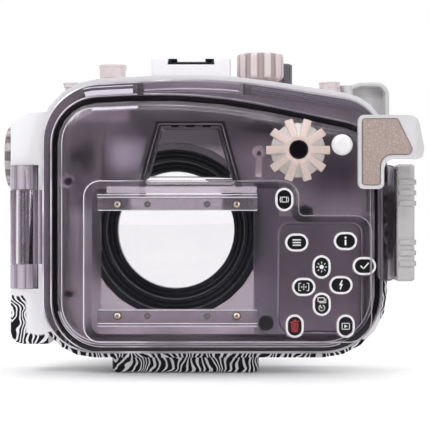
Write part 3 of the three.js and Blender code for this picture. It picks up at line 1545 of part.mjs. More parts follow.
function tripodBush() {
  return tube('z', [lensX, footCentreY - tripodBack], tripodBushRadius, tripodHoleRadius,
    gap, tripodBushLength, roundSteps);
}

// Materials

const finish = (color, roughness, metalness = 0, opacity = 1) => new THREE.MeshStandardMaterial({
  color, roughness, metalness, opacity, transparent: opacity < 1,
});
const smoke = finish(0x6e6570, 0.35, 0, 0.6);
const clear = finish(0xcfc6d0, 0.15, 0, 0.4);
const whiteShell = finish(0xe7e3e6, 0.45);
const greyPlastic = finish(0xbbb5b7, 0.5);
const warmGrey = finish(0xb7b1b1, 0.5);
const beige = finish(0xc9b5b0, 0.6);
const tan = finish(0xb39b97, 0.8);
const blackPlastic = finish(0x24242a, 0.4);
const blackRubber = finish(0x292631, 0.8);
const steel = finish(0xb8b8bc, 0.3, 1);
const brass = finish(0xc9a45c, 0.3, 1);
const glass = finish(0xf4f6fb, 0.05, 0, 0.25);
const buttonWhite = finish(0xe9e6e8, 0.4);

const housing = new THREE.Group();
housing.position.set(0, -footCentreY, 0);

function add(name, body, material) {
  const mesh = new THREE.Mesh(geometryOf(body), material);
  mesh.name = name;
  housing.add(mesh);
}

// Case and what is fixed to it
add('front_case', frontCase(), whiteShell);
add('hinge_bracket', hingeBracket(), smoke);
add('hinge_pin', hingePin(), steel);
add('latch_base', latchBase(), greyPlastic);
add('latch_pin', latchPin(), steel);
add('port_barrel', portBarrel(), blackPlastic);
add('port_seal', portSeal(), blackRubber);
add('port_glass', portGlass(), glass);
add('port_retaining_ring', portRetainingRing(), blackPlastic);
add('cold_shoe', coldShoe(), blackPlastic);
add('accessory_plug', accessoryPlug(), blackPlastic);
add('camera_tray', cameraTray(), whiteShell);
add('tripod_bush', tripodBush(), brass);

// Lid and what is fixed to it
add('rear_lid', rearLid(), smoke);
add('main_seal', mainSeal(), blackRubber);
add('thumb_rest_frame', thumbRestFrame(), warmGrey);
add('thumb_rest_pad', thumbRestPad(), tan);
add('screen_rail_upper', screenRail(upperRailZ, true), clear);
add('screen_rail_lower', screenRail(lowerRailZ, false), clear);
add('bumper_upper_left', bumper(sideBumperPlaces[0], sideBumperRadius, pocketInner), blackRubber);
add('bumper_lower_left', bumper(sideBumperPlaces[1], sideBumperRadius, pocketInner), blackRubber);
add('bumper_low_middle', bumper([panelLeft - bumperRadius - overrun * 2, panelBottom + bumperRadius + gap],
  bumperRadius, pocketInner), blackRubber);
add('bumper_step', bumper([stepX + bumperRadius, stepZ + pocketSlope / 2], bumperRadius, pocketInner),
  blackRubber);

// Latch
add('latch_lever', latchLever(), greyPlastic);
add('latch_claw', latchClaw(), steel);
add('latch_claw_pin', latchClawPin(), steel);
add('latch_slide', latchSlide(), buttonWhite);

// Controls on the case
add('mode_knob', modeKnob(), beige);
add('mode_shaft', modeShaft(), blackPlastic);
add('zoom_knob', zoomKnob(), beige);
add('zoom_shaft', zoomShaft(), blackPlastic);
add('shutter_lever', shutterLever(), warmGrey);
add('shutter_shaft', shutterShaft(), steel);
topButtons.forEach((button) => add(button.name, topButton(button), beige));

// Controls on the lid
add('rear_dial_knob', rearDialKnob(), beige);
add('rear_dial_cap', rearDialCap(), blackPlastic);
add('rear_dial_shaft', rearDialShaft(), steel);
add('rear_dial_wheel', rearDialWheel(), blackRubber);
add('button_dome', domeButton(), buttonWhite);
ovalButtons.forEach((button) => add(button.name, ovalButton(button), buttonWhite));

export default housing;
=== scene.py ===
"""Looks of an underwater camera housing, seen from the back.

A smoke lid with a clear viewing window closes a white case with a black lens port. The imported
model is the fixed frame. This script gives every node its finish, puts finely rounded pieces in
the place of the turned controls, adds the printed and inlaid pieces that the solids leave out,
and sets the floor, lamps and camera.
"""

import math

import bmesh
import bpy
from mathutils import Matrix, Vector


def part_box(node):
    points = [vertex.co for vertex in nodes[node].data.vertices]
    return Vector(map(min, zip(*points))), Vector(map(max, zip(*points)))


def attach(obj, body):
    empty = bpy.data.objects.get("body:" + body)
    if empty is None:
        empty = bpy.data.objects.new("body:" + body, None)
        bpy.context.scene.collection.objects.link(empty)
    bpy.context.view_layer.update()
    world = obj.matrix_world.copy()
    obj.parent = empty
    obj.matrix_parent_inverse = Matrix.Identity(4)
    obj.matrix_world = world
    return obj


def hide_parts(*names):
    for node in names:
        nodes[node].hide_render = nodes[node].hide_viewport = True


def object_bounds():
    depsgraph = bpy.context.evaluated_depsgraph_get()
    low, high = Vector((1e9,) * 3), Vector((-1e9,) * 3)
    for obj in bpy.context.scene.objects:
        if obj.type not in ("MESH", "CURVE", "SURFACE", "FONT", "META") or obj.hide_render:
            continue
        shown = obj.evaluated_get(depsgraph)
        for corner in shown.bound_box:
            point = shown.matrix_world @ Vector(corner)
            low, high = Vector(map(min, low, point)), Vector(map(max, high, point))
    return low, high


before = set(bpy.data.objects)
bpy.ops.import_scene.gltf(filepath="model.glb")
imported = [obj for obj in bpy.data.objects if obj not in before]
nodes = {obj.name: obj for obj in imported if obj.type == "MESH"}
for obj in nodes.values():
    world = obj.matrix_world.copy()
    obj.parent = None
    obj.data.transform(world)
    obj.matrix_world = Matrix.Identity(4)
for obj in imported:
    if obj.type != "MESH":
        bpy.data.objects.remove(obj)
cad_low, cad_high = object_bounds()

MM = 0.001

# Camera of the photograph
VIEW_X = 13.2 * MM
VIEW_Z = 70.8 * MM
VIEW_Y = -830.4 * MM
VIEW_LENS = 151.3
SENSOR = 36.0

# Colours, linear light
SMOKE_LID = (0.62, 0.56, 0.62)
# Painted shade in the lid's plastic, where what lies behind it shows dim
SHADED_SMOKE_LOW = (0.44, 0.39, 0.44)
SHADED_SMOKE_PANEL = (0.31, 0.27, 0.315)
SHADED_SMOKE_DARK = (0.30, 0.27, 0.33)
SHADED_SMOKE_FOOT = (0.17, 0.145, 0.17)
SMOKE_FLANGE = (0.33, 0.295, 0.34)
# Painted reflection on the lid's roof
REFLECTED_SMOKE_PALE = (0.99, 0.88, 0.98)
# Painted shade on the raised window's side walls
SHADED_SMOKE_WALL = (0.15, 0.12, 0.145)
SMOKE_CLEAR = (0.995, 0.975, 1.0)
# Painted highlight streaks on the hinge knuckle
KNUCKLE_HIGHLIGHT = (1.0, 0.95, 1.0)
# Painted highlight: a pale sheet on the pocket's upper slope
SLOPE_HIGHLIGHT = (0.78, 0.72, 0.78)
SMOKE_SHADE = (0.82, 0.805, 0.82)
# Painted shade and painted highlight streaks on the hinge
HINGE_SHADE_STREAK = (0.14, 0.12, 0.145)
HINGE_HIGHLIGHT_STREAK = (0.66, 0.60, 0.68)
CLEAR_RAIL = (0.43, 0.375, 0.43)
# Painted glints along the lid's edges
GLINT_PALE = (0.86, 0.80, 0.87)
GLINT_DIM = (0.17, 0.145, 0.175)
SHELL_WHITE = (0.87, 0.855, 0.87)
# Painted shade inside the case and on the tray, darkest behind the raised window
SHELL_INSIDE_SHADE = (0.74, 0.69, 0.73)
SHELL_BAY_SHADE = (0.30, 0.275, 0.30)
PRINT_BLACK = (0.012, 0.011, 0.014)
RUBBER_BLACK = (0.020, 0.018, 0.026)
SATIN_BLACK = (0.006, 0.009, 0.018)
GLOSS_BLACK = (0.004, 0.004, 0.006)
PLUG_GREY = (0.10, 0.092, 0.11)
GREY_MOULDING = (0.615, 0.60, 0.605)
LATCH_GREY = (0.46, 0.44, 0.44)
LEVER_GREY = (0.58, 0.57, 0.57)
KNOB_BEIGE = (0.70, 0.61, 0.61)
# Painted shade in the bottoms of the mode knob's grooves
KNOB_GROOVE_SHADE = (0.44, 0.36, 0.35)
DIAL_BEIGE = (0.62, 0.495, 0.445)
DIAL_GREY = (0.56, 0.525, 0.495)
ZOOM_TAUPE = (0.46, 0.41, 0.40)
# Painted shade in the bottoms of the zoom knob's grooves
ZOOM_GROOVE_SHADE = (0.22, 0.19, 0.185)
PAD_TAUPE = (0.43, 0.335, 0.30)
BUTTON_WHITE = (0.80, 0.775, 0.79)
STEM_GREY = (0.10, 0.09, 0.10)
BOSS_PALE = (0.66, 0.56, 0.62)
RIDGE_GREY = (0.21, 0.20, 0.235)
# Painted sheen on the lid's flange and roof
SHEEN_PALE = (0.74, 0.68, 0.78)
# Painted shade at the ends of the opening strip and round the pale patch behind the roof
PAINTED_SHADE_GREY = (0.075, 0.06, 0.075)
# Painted light in the pale patch behind the roof
LIGHT_PATCH_GREY = (0.50, 0.49, 0.55)
# Painted highlight on the rim of the port's hub
HUB_HIGHLIGHT_GREY = (0.24, 0.215, 0.25)
HOLE_GREY = (0.16, 0.14, 0.165)
ICON_WHITE = (0.78, 0.78, 0.78)
ICON_RED = (0.50, 0.03, 0.045)
GLASS = (0.99, 0.99, 1.0)
GLASS_SHADE = (0.97, 0.975, 0.985)
STEEL = (0.56, 0.56, 0.58)
BRASS = (0.80, 0.66, 0.50)
# Painted highlights along the rails' edges
RAIL_EDGE_HIGHLIGHT = (0.86, 0.82, 0.87)

CLEAR_IOR = 1.45

# Fine pieces
INLAY_THICK = 0.25 * MM
ICON_THICK = 0.08 * MM
SKIN = 0.02 * MM
SAME_PLACE = 0.0005 * MM
NODE_WELD = 0.0004 * MM
EDGE_ROUND = 0.35 * MM
FINE_EDGE_ROUND = 0.15 * MM
EDGE_ANGLE = math.radians(32)
OVAL_STEPS = 10
TURN_STEPS = 48
PORT_STEPS = 96

# Push buttons: sizes of the solids that the fine pieces stand for
CAP_THICK = 3.2 * MM
CAP_RIM = 1.0 * MM
CAP_RECESS = 0.5 * MM
STEM_RADIUS = 1.7 * MM
STEM_DISC = 2.8 * MM
STEM_DISC_THICK = 0.9 * MM
STEM_TAIL = 2.6 * MM
STEM_GAP = 0.3 * MM

# Knobs: shares of their radius; the pitch is an angle
KNOB_RIBS = 10
KNOB_PITCH = 0.628
KNOB_CORE = 0.86
GROOVE_SPAN = (0.88, 0.96)
KNOB_EDGE = 0.11
KNOB_FOOT = 0.76
KNOB_RIB = 0.14
KNOB_DISH = 0.6

# Rear dial
DIAL_HOLE = 4.15 * MM
DIAL_HUB = 5.6 * MM
DIAL_BODY = 11.85 * MM
DIAL_CONE_TOP = DIAL_HUB + 0.6 * MM
DIAL_CONE_FOOT = DIAL_BODY - 0.3 * MM
DIAL_CONE_DROP = 0.6 * MM
DIAL_RIM = 2.6 * MM
DIAL_RIB = 3.6 * MM
DIAL_RIB_ROOT = 0.6
DIAL_PROUD = 1.0 * MM

# Lens port
PORT_FLANGE = 3.4 * MM
PORT_TUBE = 41.0 * MM
PORT_LIP = 43.5 * MM
PORT_LIP_LONG = 9.0 * MM
PORT_BORES = (38.1 * MM, 33.0 * MM, 28.2 * MM)
PORT_STEP_Y = (33.7 * MM, 44.4 * MM)
PORT_HUB = 40.9 * MM
# Heights of the painted highlight on the hub's rim
HUB_LIT_Z = (28 * MM, 32 * MM)
PORT_SEAT_Y = 26.9 * MM
PORT_FLUTES = 16
PORT_FLUTE_DEEP = 0.7 * MM
PORT_FLUTE = ((-1.9, 0.0), (-1.4, 0.45), (-0.7, 0.9), (0.0, 1.0), (0.7, 0.9), (1.4, 0.45),
              (1.9, 0.0), (7.0, 0.0), (12.0, 0.0), (15.6, 0.0))
PORT_GAP = 0.3 * MM
PORT_RIDGE = 0.35 * MM

# Dome button, top buttons, rails and screws
SCREW_STEPS = 24
DOME_HIGH = 3.6 * MM
DOME_RIM = 1.2 * MM
DIAL_DEEP = 4.6 * MM
TOP_STEM = 14.0 * MM
TOP_STEM_RADIUS = 1.7 * MM
RAIL_BASE = 2.0 * MM
RAIL_LIP = 1.6 * MM
RAIL_HIGHLIGHT_WIDE = 0.35 * MM
RAIL_HOLES = (0.125, 0.313, 0.686, 0.87)
SCREW_HEAD = 1.4 * MM
SCREW_RISE = 0.8 * MM
SCREW_SLOT = 0.28 * MM
SEAT_FILLED = (1.35, 1.02)
SEAT_EMPTY = (1.0, 0.62)
SEAT_RISE = 0.1 * MM

# Outlines of the lid, its seal, pocket and button panel: corner X and Z, and its radius
LID_OUTLINE = ((-63.5, 127.94, 26.6), (13.26, 132.1, 243.0), (87.6, 120.34, 20.0),
               (87.6, 9.6, 26.6), (-63.5, 9.6, 23.0))
SEAL_OUTLINE = ((-57.2, 120.24, 18.9), (6.46, 123.6, 243.0), (84.5, 107.24, 16.9),
                (84.5, 12.0, 23.5), (-57.2, 12.0, 20.6))
POCKET_OUTLINE = ((-44.0, 85.55, 7.0), (49.6, 85.55, 7.0), (49.6, 70.36, 2.5),
                  (81.4, 70.36, 7.0), (81.4, 15.4, 10.0), (-44.0, 15.4, 7.0))
PANEL_OUTLINE = ((41.2, 67.06, 4.5), (77.5, 67.06, 4.5), (77.5, 19.3, 4.5), (41.2, 19.3, 4.5))
FLANGE_Y = -30.4
ROOF_Y = -41.4
LID_FRONT_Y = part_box("rear_lid")[0].y / MM
POCKET_Y = -34.9
CORNER_STEPS = 14
STRIP_THICK = 0.03
STRIP_STEP = 2 * MM
CAP_CLEAR = 7.5

# Zones of painted shade and painted reflection on the lid's plastic: colour, low X and Z, high X
# and Z, soft border, all in mm
# Painted shade: lower left, higher on the left, upper right, over the button panel and between
# window and panel
PAINTED_SHADE_ZONES = (
    (SHADED_SMOKE_LOW, -62, 8, -42, 74, 9), (SHADED_SMOKE_DARK, -53, 70, -39, 90, 6),
    (SHADED_SMOKE_DARK, 52, 74, 80, 100, 9), (SHADED_SMOKE_PANEL, 41, 18, 82, 70.6, 0.6),
    (SHADED_SMOKE_DARK, 30.2, 18, 41.6, 86, 0.5))
# Painted reflections on the roof's upper left and upper right, and painted shade along the foot
REFLECTIONS_AND_FOOT_SHADE = (
    (REFLECTED_SMOKE_PALE, -48, 110.5, -23, 119, 2.4), (REFLECTED_SMOKE_PALE, 24, 108, 42, 117, 5),
    (SHADED_SMOKE_FOOT, -50, 7, 76, 18, 1.5))
KNUCKLE_X = -65 * MM
WINDOW_LEFT = 1.2 * MM
WINDOW_RIGHT = 1.5 * MM
ZONE_DEEP = 9 * MM
RIM_SOFT = 0.8

# Raised window, as the clear plastic follows it
HUMP_X = 2.4 * MM
HUMP_FOOT_Z = 84.0 * MM
HUMP_TOP_Z = 111.6 * MM
HUMP_FOOT_HALF = 22.3 * MM
HUMP_TOP_HALF = 14.8 * MM
HUMP_WALL = 2.4 * MM
HUMP_SOFT = 0.6 * MM
# Where the case's inside takes its darkest painted shade, and the width of its soft border
HUMP_SHADE_BAY = ((-26 * MM, 100 * MM), (30 * MM, 140 * MM))
HUMP_SHADE_BAY_SOFT = 4 * MM

# Painted light: the box in which the patch behind the roof is pale, and its soft border
LIGHT_PATCH_BOX = ((-37 * MM, -60 * MM, 86 * MM), (-13 * MM, 0.0, 109 * MM))
LIGHT_PATCH_SOFT = 8 * MM

# Print round the case: height of its edge on sides, back and hinge block, and by the latch
PRINT_SIDE_Z = 46 * MM
PRINT_BACK_Z = 24 * MM
PRINT_BLOCK_Z = 43.5 * MM
PRINT_BLOCK_AWAY = 12 * MM
PRINT_LATCH_Z = 97 * MM
PRINT_RAGGED = 14 * MM
PRINT_STRIPES = {"Stripes": 130.0, "Bend": 11.0, "Black": 0.33}
BARE_LEFT = 10 * MM
BARE_RIGHT = 4 * MM
BARE_FRONT = 8 * MM
LIP_DEEP = 3 * MM

# Pictograms, as shares of the inlay's half height
ICON_SHARE = 0.86
ICON_GROWTH = {"drive": 1.18, "delete": 1.18}

# Studio
WHITE = (1.0, 1.0, 1.0)
BLACK = (0.0, 0.0, 0.0)
FLOOR_PALE = (0.93, 0.93, 0.935)
FLOOR_REACH = (-3.0, -2.5, 3.0, 4.0)
WORLD_LIGHT = (0.95, 0.96, 1.0)
WORLD_POWER = 0.45
LAMP_POWER = 0.55
BEHIND_CAMERA = 0.06


# Mesh helpers


def new_piece(name, bm, body, finish, slot, smooth=35, stands_for=None):
    """Turns a bmesh into an object that rides on a body, smooth except at its sharp edges."""
    bmesh.ops.remove_doubles(bm, verts=bm.verts, dist=SAME_PLACE)
    bmesh.ops.recalc_face_normals(bm, faces=bm.faces)
    mesh = bpy.data.meshes.new(name)
    bm.to_mesh(mesh)
    bm.free()
    for polygon in mesh.polygons:
        polygon.use_smooth = True
    mesh.set_sharp_from_angle(angle=math.radians(smooth))
    mesh.materials.append(FINISH[finish])
    piece = bpy.data.objects.new(name, mesh)
    bpy.context.scene.collection.objects.link(piece)
    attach(piece, body)
    if stands_for:
        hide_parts(stands_for)


def add_skin(bm, rings, loop=False):
    """Joins rings of equal length into a closed skin, capped at both ends unless it loops."""
    made = [[bm.verts.new(point) for point in ring] for ring in rings]
    following = made[1:] + made[:1] if loop else made[1:]
    count = len(made[0])
    for low, high in zip(made, following):
        for i in range(count):
            j = (i + 1) % count
            bm.faces.new((low[i], low[j], high[j], high[i]))
    if not loop:
        bm.faces.new(made[0][::-1])
        bm.faces.new(made[-1])


def skin_piece(name, rings, body, finish, slot, smooth=35, loop=False, stands_for=None):
    bm = bmesh.new()
    add_skin(bm, rings, loop)
    new_piece(name, bm, body, finish, slot, smooth, stands_for)


def soften(points, radius, steps=3):
    """A profile with each of its inner corners drawn as a small round."""
    softened = [points[0]]
    for before, corner, after in zip(points, points[1:], points[2:]):
        corner = Vector(corner)
        arms = [Vector(end) - corner for end in (before, after)]
        start, end = [corner + arm * min(radius / arm.length, 0.45) for arm in arms]
        for i in range(steps + 1):
            share = i / steps
            point = start * (1 - share) ** 2 + corner * 2 * share * (1 - share) + end * share ** 2
            softened.append(tuple(point))
    softened.append(points[-1])
    return softened


def round_ring(axis, centre, radius, along, steps):
    """A circle about an axis; centre gives its two other coordinates in their order."""
    ring = []
    for i in range(steps):
        turn = 2 * math.pi * i / steps
        first = centre[0] + radius * math.cos(turn)
        second = centre[1] + radius * math.sin(turn)
        ring.append({
            "x": (along, first, second), "y": (first, along, second), "z": (first, second, along),
        }[axis])
    return ring


def turned_rings(axis, centre, profile, steps=TURN_STEPS):
    """The rings of a turned solid; its profile gives radius and place along the axis."""
    return [round_ring(axis, centre, r, along, steps) for r, along in profile]


def oval(centre, width, height):
    """A stadium outline in X and Z with its long side along the larger of width and height."""
    radius = min(width, height) / 2
    reach_x = width / 2 - radius
    reach_z = height / 2 - radius
    points = []
    for side_x, side_z, start in ((1, 1, 0), (-1, 1, 90), (-1, -1, 180), (1, -1, 270)):
        for i in range(OVAL_STEPS + 1):
            angle = math.radians(start + 90 * i / OVAL_STEPS)
            points.append((centre[0] + side_x * reach_x + radius * math.cos(angle),
                           centre[1] + side_z * reach_z + radius * math.sin(angle)))
    kept = [point for i, point in enumerate(points)
            if (Vector(point) - Vector(points[i - 1])).length > SKIN / 10]
    return kept


def circle(centre, radius, steps=24):
    return [(centre[0] + radius * math.cos(2 * math.pi * i / steps),
             centre[1] + radius * math.sin(2 * math.pi * i / steps)) for i in range(steps)]


def rectangle(low_x, low_z, high_x, high_z):
    return [(low_x, low_z), (high_x, low_z), (high_x, high_z), (low_x, high_z)]


def add_plate(bm, outline, near, far):
    """Adds a flat plate: an outline in X and Z, from the near face (lower Y) to the far one."""
    add_skin(bm, [[(x, y, z) for x, z in outline] for y in (far, near)])


def plate_piece(name, outlines, near, far, body, finish, slot, smooth=35):
    """A piece of one or more flat plates between two depths."""
    bm = bmesh.new()
    for outline in outlines:
        add_plate(bm, outline, near, far)
    new_piece(name, bm, body, finish, slot, smooth)


def stroke(points, width, closed=False):
    """The outlines of a polyline's straight strokes, each one a rectangle with small overlaps."""
    pieces = []
    for start, end in zip(points, points[1:] + (points[:1] if closed else [])):
        a = Vector(start)
        b = Vector(end)
        along = (b - a).normalized() * width / 2
        side = Vector((-along.y, along.x))
        pieces.append([tuple(a - along - side), tuple(b + along - side),
                       tuple(b + along + side), tuple(a - along + side)])
    return pieces


def rounded(corners, inset):
    """A clockwise outline in mm with round corners, moved inwards by an inset."""
    places = [Vector(corner[:2]) for corner in corners]
    count = len(places)
    along = [(places[(i + 1) % count] - places[i]).normalized() for i in range(count)]
    inward = [Vector((d.y, -d.x)) for d in along]
    points = []
    for i, (_, _, radius) in enumerate(corners):
        before, after = along[i - 1], along[i]
        turn = before.x * after.y - before.y * after.x
        side = inward[i - 1] + inward[i]
        corner = places[i] + side * inset / (1 + inward[i - 1].dot(inward[i]))
        round_by = radius - inset if turn < 0 else radius + inset
        reach = round_by * math.tan(before.angle(after) / 2)
        start = corner - before * reach
        centre = start + inward[i - 1] * (round_by if turn < 0 else -round_by)
        arm = start - centre
        for step in range(CORNER_STEPS + 1):
            angle = math.copysign(before.angle(after), turn) * step / CORNER_STEPS
            points.append((centre.x + arm.x * math.cos(angle) - arm.y * math.sin(angle),
                           centre.y + arm.x * math.sin(angle) + arm.y * math.cos(angle)))
    return points


def add_strip(bm, corners, section, keep=None):
    """Adds a band along an outline; section gives inset and Y in mm, keep tells where it runs."""
    lines = [[(x, y, z) for x, z in rounded(corners, inset)] for inset, y in section]
    stations = [[Vector(point) * MM for point in station] for station in zip(*lines)]
    if keep is None:
        add_skin(bm, stations, loop=True)
        return
    fine = []
    for start, end in zip(stations, stations[1:] + stations[:1]):
        parts = max(1, round((end[0] - start[0]).length / STRIP_STEP))
        for part in range(parts):
            fine.append([a + (b - a) * part / parts for a, b in zip(start, end)])
    kept = [keep(station[0].x / MM, station[0].z / MM) for station in fine]
    first = next(i for i in range(len(fine)) if kept[i] and not kept[i - 1])
    run = []
    for i in list(range(first, len(fine))) + list(range(first)):
        if kept[i]:
            run.append(fine[i])
        elif run:
            if len(run) > 1:
                add_skin(bm, run)
            run = []
    if len(run) > 1:
        add_skin(bm, run)


def middle_of(name):
    """A node's lowest corner, highest corner and middle."""
    low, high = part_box(name)
    return low, high, (low + high) / 2


# Shader helpers


class Shader:
    """A node tree with short ways to add and join its nodes."""

    def __init__(self, tree):
        self.tree = tree

    def add(self, kind, inputs=None, **settings):
        node = self.tree.nodes.new(kind)
        for key, value in settings.items():
            setattr(node, key, value)
        for key, value in (inputs or {}).items():
            self.set(node.inputs[key], value)
        return node

    def set(self, socket, value):
        if isinstance(value, bpy.types.NodeSocket):
            self.tree.links.new(value, socket)
        elif isinstance(value, (tuple, list)) and socket.type == "RGBA":
            socket.default_value = (*value[:3], 1.0)
        else:
            socket.default_value = value

    def math(self, operation, first, second=0.0, clamp=False):
        node = self.add("ShaderNodeMath", operation=operation, use_clamp=clamp)
        self.set(node.inputs[0], first)
        self.set(node.inputs[1], second)
        return node.outputs[0]

    def times(self, first, *others):
        for other in others:
            first = self.math("MULTIPLY", first, other)
        return first

    def reach(self, first, second):
        """Distance from an axis, of two coordinates measured from it."""
        return self.math("SQRT", self.math(
            "ADD", self.times(first, first), self.times(second, second)))

    def ramp(self, value, low, high, to_low=0.0, to_high=1.0, soft=True):
        kind = "SMOOTHSTEP" if soft else "LINEAR"
        node = self.add("ShaderNodeMapRange", interpolation_type=kind)
        for key, item in zip(("Value", "From Min", "From Max", "To Min", "To Max"),
                             (value, low, high, to_low, to_high)):
            self.set(node.inputs[key], item)
        return node.outputs[0]

    def blend(self, factor, first, second):
        node = self.add("ShaderNodeMix", data_type="RGBA")
        self.set(node.inputs["Factor"], factor)
        self.set(node.inputs[6], first)
        self.set(node.inputs[7], second)
        return node.outputs[2]

    def scale(self, vector, factor):
        node = self.add("ShaderNodeVectorMath", operation="SCALE")
        self.set(node.inputs[0], vector)
        self.set(node.inputs["Scale"], factor)
        return node.outputs[0]

    def move(self, vector, shift):
        node = self.add("ShaderNodeVectorMath", operation="ADD")
        self.set(node.inputs[0], vector)
        self.set(node.inputs[1], shift)
        return node.outputs[0]

    def noise(self, position, scale, detail=2.0, roughness=0.5):
        return self.add("ShaderNodeTexNoise", {
            "Vector": position, "Scale": scale, "Detail": detail, "Roughness": roughness}).outputs

    def bump(self, height, strength, distance):
        node = self.add("ShaderNodeBump", {
            "Height": height, "Strength": strength, "Distance": distance})
        return node.outputs["Normal"]

    def place(self):
        return self.add("ShaderNodeTexCoord").outputs["Object"]

    def split(self, vector):
        return self.add("ShaderNodeSeparateXYZ", {"Vector": vector}).outputs

    def from_middle(self, middle):
        """The coordinates measured from a middle."""
        return self.split(self.move(self.place(), tuple(-middle)))


FLOAT = "NodeSocketFloat"
COLOR = "NodeSocketColor"
VECTOR = "NodeSocketVector"


def new_group(name, inputs, outputs):
    """An empty shader group with named sockets; gives its tree, helper and two end nodes."""
    tree = bpy.data.node_groups.new(name, "ShaderNodeTree")
    for label, kind, value in inputs:
        socket = tree.interface.new_socket(name=label, in_out="INPUT", socket_type=kind)
        if value is not None:
            socket.default_value = value
    for label, kind in outputs:
        tree.interface.new_socket(name=label, in_out="OUTPUT", socket_type=kind)
    shader = Shader(tree)
    return tree, shader, shader.add("NodeGroupInput"), shader.add("NodeGroupOutput")


def moulded_finish_group():
    """Colour drift, uneven gloss and the fine texture of a moulded plastic."""
    tree, shader, start, end = new_group(
        "moulded finish",
        [("Color", COLOR, None), ("Drift", FLOAT, 0.04), ("Roughness", FLOAT, 0.4),
         ("Roughness Drift", FLOAT, 0.08), ("Texture", FLOAT, 0.1),
         ("Texture Scale", FLOAT, 900.0)],
        [("Color", COLOR), ("Roughness", FLOAT), ("Normal", VECTOR)])
    place = shader.place()
    broad = shader.noise(place, 38.0, 3.0, 0.6)["Fac"]
    fine = shader.noise(place, start.outputs["Texture Scale"], 2.0, 0.55)["Fac"]
    centred = shader.math("SUBTRACT", broad, 0.5)
    lift = shader.math("ADD", shader.times(centred, start.outputs["Drift"]), 1.0)
    uneven = shader.times(centred, start.outputs["Roughness Drift"])
    roughness = shader.math("ADD", start.outputs["Roughness"], uneven, clamp=True)
    shader.set(end.inputs["Color"], shader.scale(start.outputs["Color"], lift))
    shader.set(end.inputs["Roughness"], roughness)
    shader.set(end.inputs["Normal"], shader.bump(fine, start.outputs["Texture"], 0.05 * MM))
    return tree


def box_mask_group():
    """1 inside an upright box of the frame, 0 outside, with a soft border."""
    tree, shader, start, end = new_group(
        "box mask",
        [("Low", VECTOR, None), ("High", VECTOR, None), ("Border", FLOAT, 0.0005)],
        [("Mask", FLOAT)])
    at, low, high = [shader.split(vector) for vector in (
        shader.place(), start.outputs["Low"], start.outputs["High"])]
    mask = None
    for axis in range(3):
        for first, second in ((at[axis], low[axis]), (high[axis], at[axis])):
            depth = shader.math("SUBTRACT", first, second)
            side = shader.math("DIVIDE", depth, start.outputs["Border"], clamp=True)
            mask = side if mask is None else shader.times(mask, side)
    shader.set(end.inputs["Mask"], mask)
    return tree


def wavy_stripe_group():
    """Bent black and white stripes of uneven width; 1 is black."""
    tree, shader, start, end = new_group(
        "wavy stripes",
        [("Stripes", FLOAT, 110.0), ("Bend", FLOAT, 6.0), ("Black", FLOAT, 0.4)],
        [("Mask", FLOAT)])
    place = shader.place()
    drift = shader.noise(place, 70.0, 1.5)["Color"]
    pushed = shader.scale(shader.move(drift, (-0.5, -0.5, -0.5)), 12 * MM)
    at = shader.split(shader.move(place, pushed))
    across = shader.add("ShaderNodeCombineXYZ", {
        "X": shader.math("ADD", at["X"], at["Y"]), "Y": at["Y"], "Z": at["Z"]}).outputs[0]
    waves = shader.add("ShaderNodeTexWave", {
        "Vector": across, "Scale": start.outputs["Stripes"],
        "Distortion": start.outputs["Bend"], "Detail": 1.0, "Detail Scale": 0.9},
        wave_type="BANDS", bands_direction="X")
    level = start.outputs["Black"]
    mask = shader.ramp(waves.outputs["Fac"], shader.math("SUBTRACT", level, 0.05),
                       shader.math("ADD", level, 0.05))
    shader.set(end.inputs["Mask"], mask)
    return tree


MOULDED = moulded_finish_group()
BOX_MASK = box_mask_group()
STRIPES = wavy_stripe_group()


def use_group(shader, tree, inputs):
    node = shader.add("ShaderNodeGroup", node_tree=tree)
    for key, value in inputs.items():
        shader.set(node.inputs[key], value)
    return node


def box_mask(shader, low, high, border=0.5 * MM):
    return use_group(shader, BOX_MASK, {
        "Low": tuple(low), "High": tuple(high), "Border": border}).outputs["Mask"]


def new_material(name):
    material = bpy.data.materials.new(name)
    material.use_nodes = True
    tree = material.node_tree
    surface = next(node for node in tree.nodes if node.type == "BSDF_PRINCIPLED")
    output = next(node for node in tree.nodes if node.type == "OUTPUT_MATERIAL")
    return material, Shader(tree), surface, output


def finish_with(shader, surface, color, roughness, drift=0.05, uneven=0.08, texture=0.1,
                scale=900.0):
    """Feeds a surface's colour, roughness and normal through the moulded finish."""
    finish = use_group(shader, MOULDED, {
        "Color": color, "Drift": drift, "Roughness": roughness, "Roughness Drift": uneven,
        "Texture": texture, "Texture Scale": scale})
    shader.set(surface.inputs["Base Color"], finish.outputs["Color"])
    shader.set(surface.inputs["Roughness"], finish.outputs["Roughness"])
    shader.set(surface.inputs["Normal"], finish.outputs["Normal"])


def plastic(name, color, roughness=0.4, drift=0.05, texture=0.15, scale=900.0, coat=0.0):
    """A moulded plastic of one colour."""
    material, shader, surface, _ = new_material(name)
    finish_with(shader, surface, color, roughness, drift, 0.08, texture, scale)
    surface.inputs["Coat Weight"].default_value = coat
    surface.inputs["Coat Roughness"].default_value = 0.12
    return material


def metal(name, color, roughness=0.28):
    material, shader, surface, _ = new_material(name)
    finish_with(shader, surface, color, roughness, 0.06, 0.08, 0.1, 2600.0)
    surface.inputs["Metallic"].default_value = 1.0
    return material


def make_clear(shader, surface, output, clear, tint):
    """Clears a plastic, less than fully where it is hazy; for lamps it is plain tinted air."""
    surface.inputs["Transmission Weight"].default_value = clear
    surface.inputs["IOR"].default_value = CLEAR_IOR
    air = shader.add("ShaderNodeBsdfTransparent", {"Color": tint})
    path = shader.add("ShaderNodeLightPath")
    mix = shader.add("ShaderNodeMixShader")
    shader.set(mix.inputs[0], path.outputs["Is Shadow Ray"])
    shader.set(mix.inputs[1], surface.outputs["BSDF"])
    shader.set(mix.inputs[2], air.outputs["BSDF"])
    shader.set(output.inputs["Surface"], mix.outputs["Shader"])


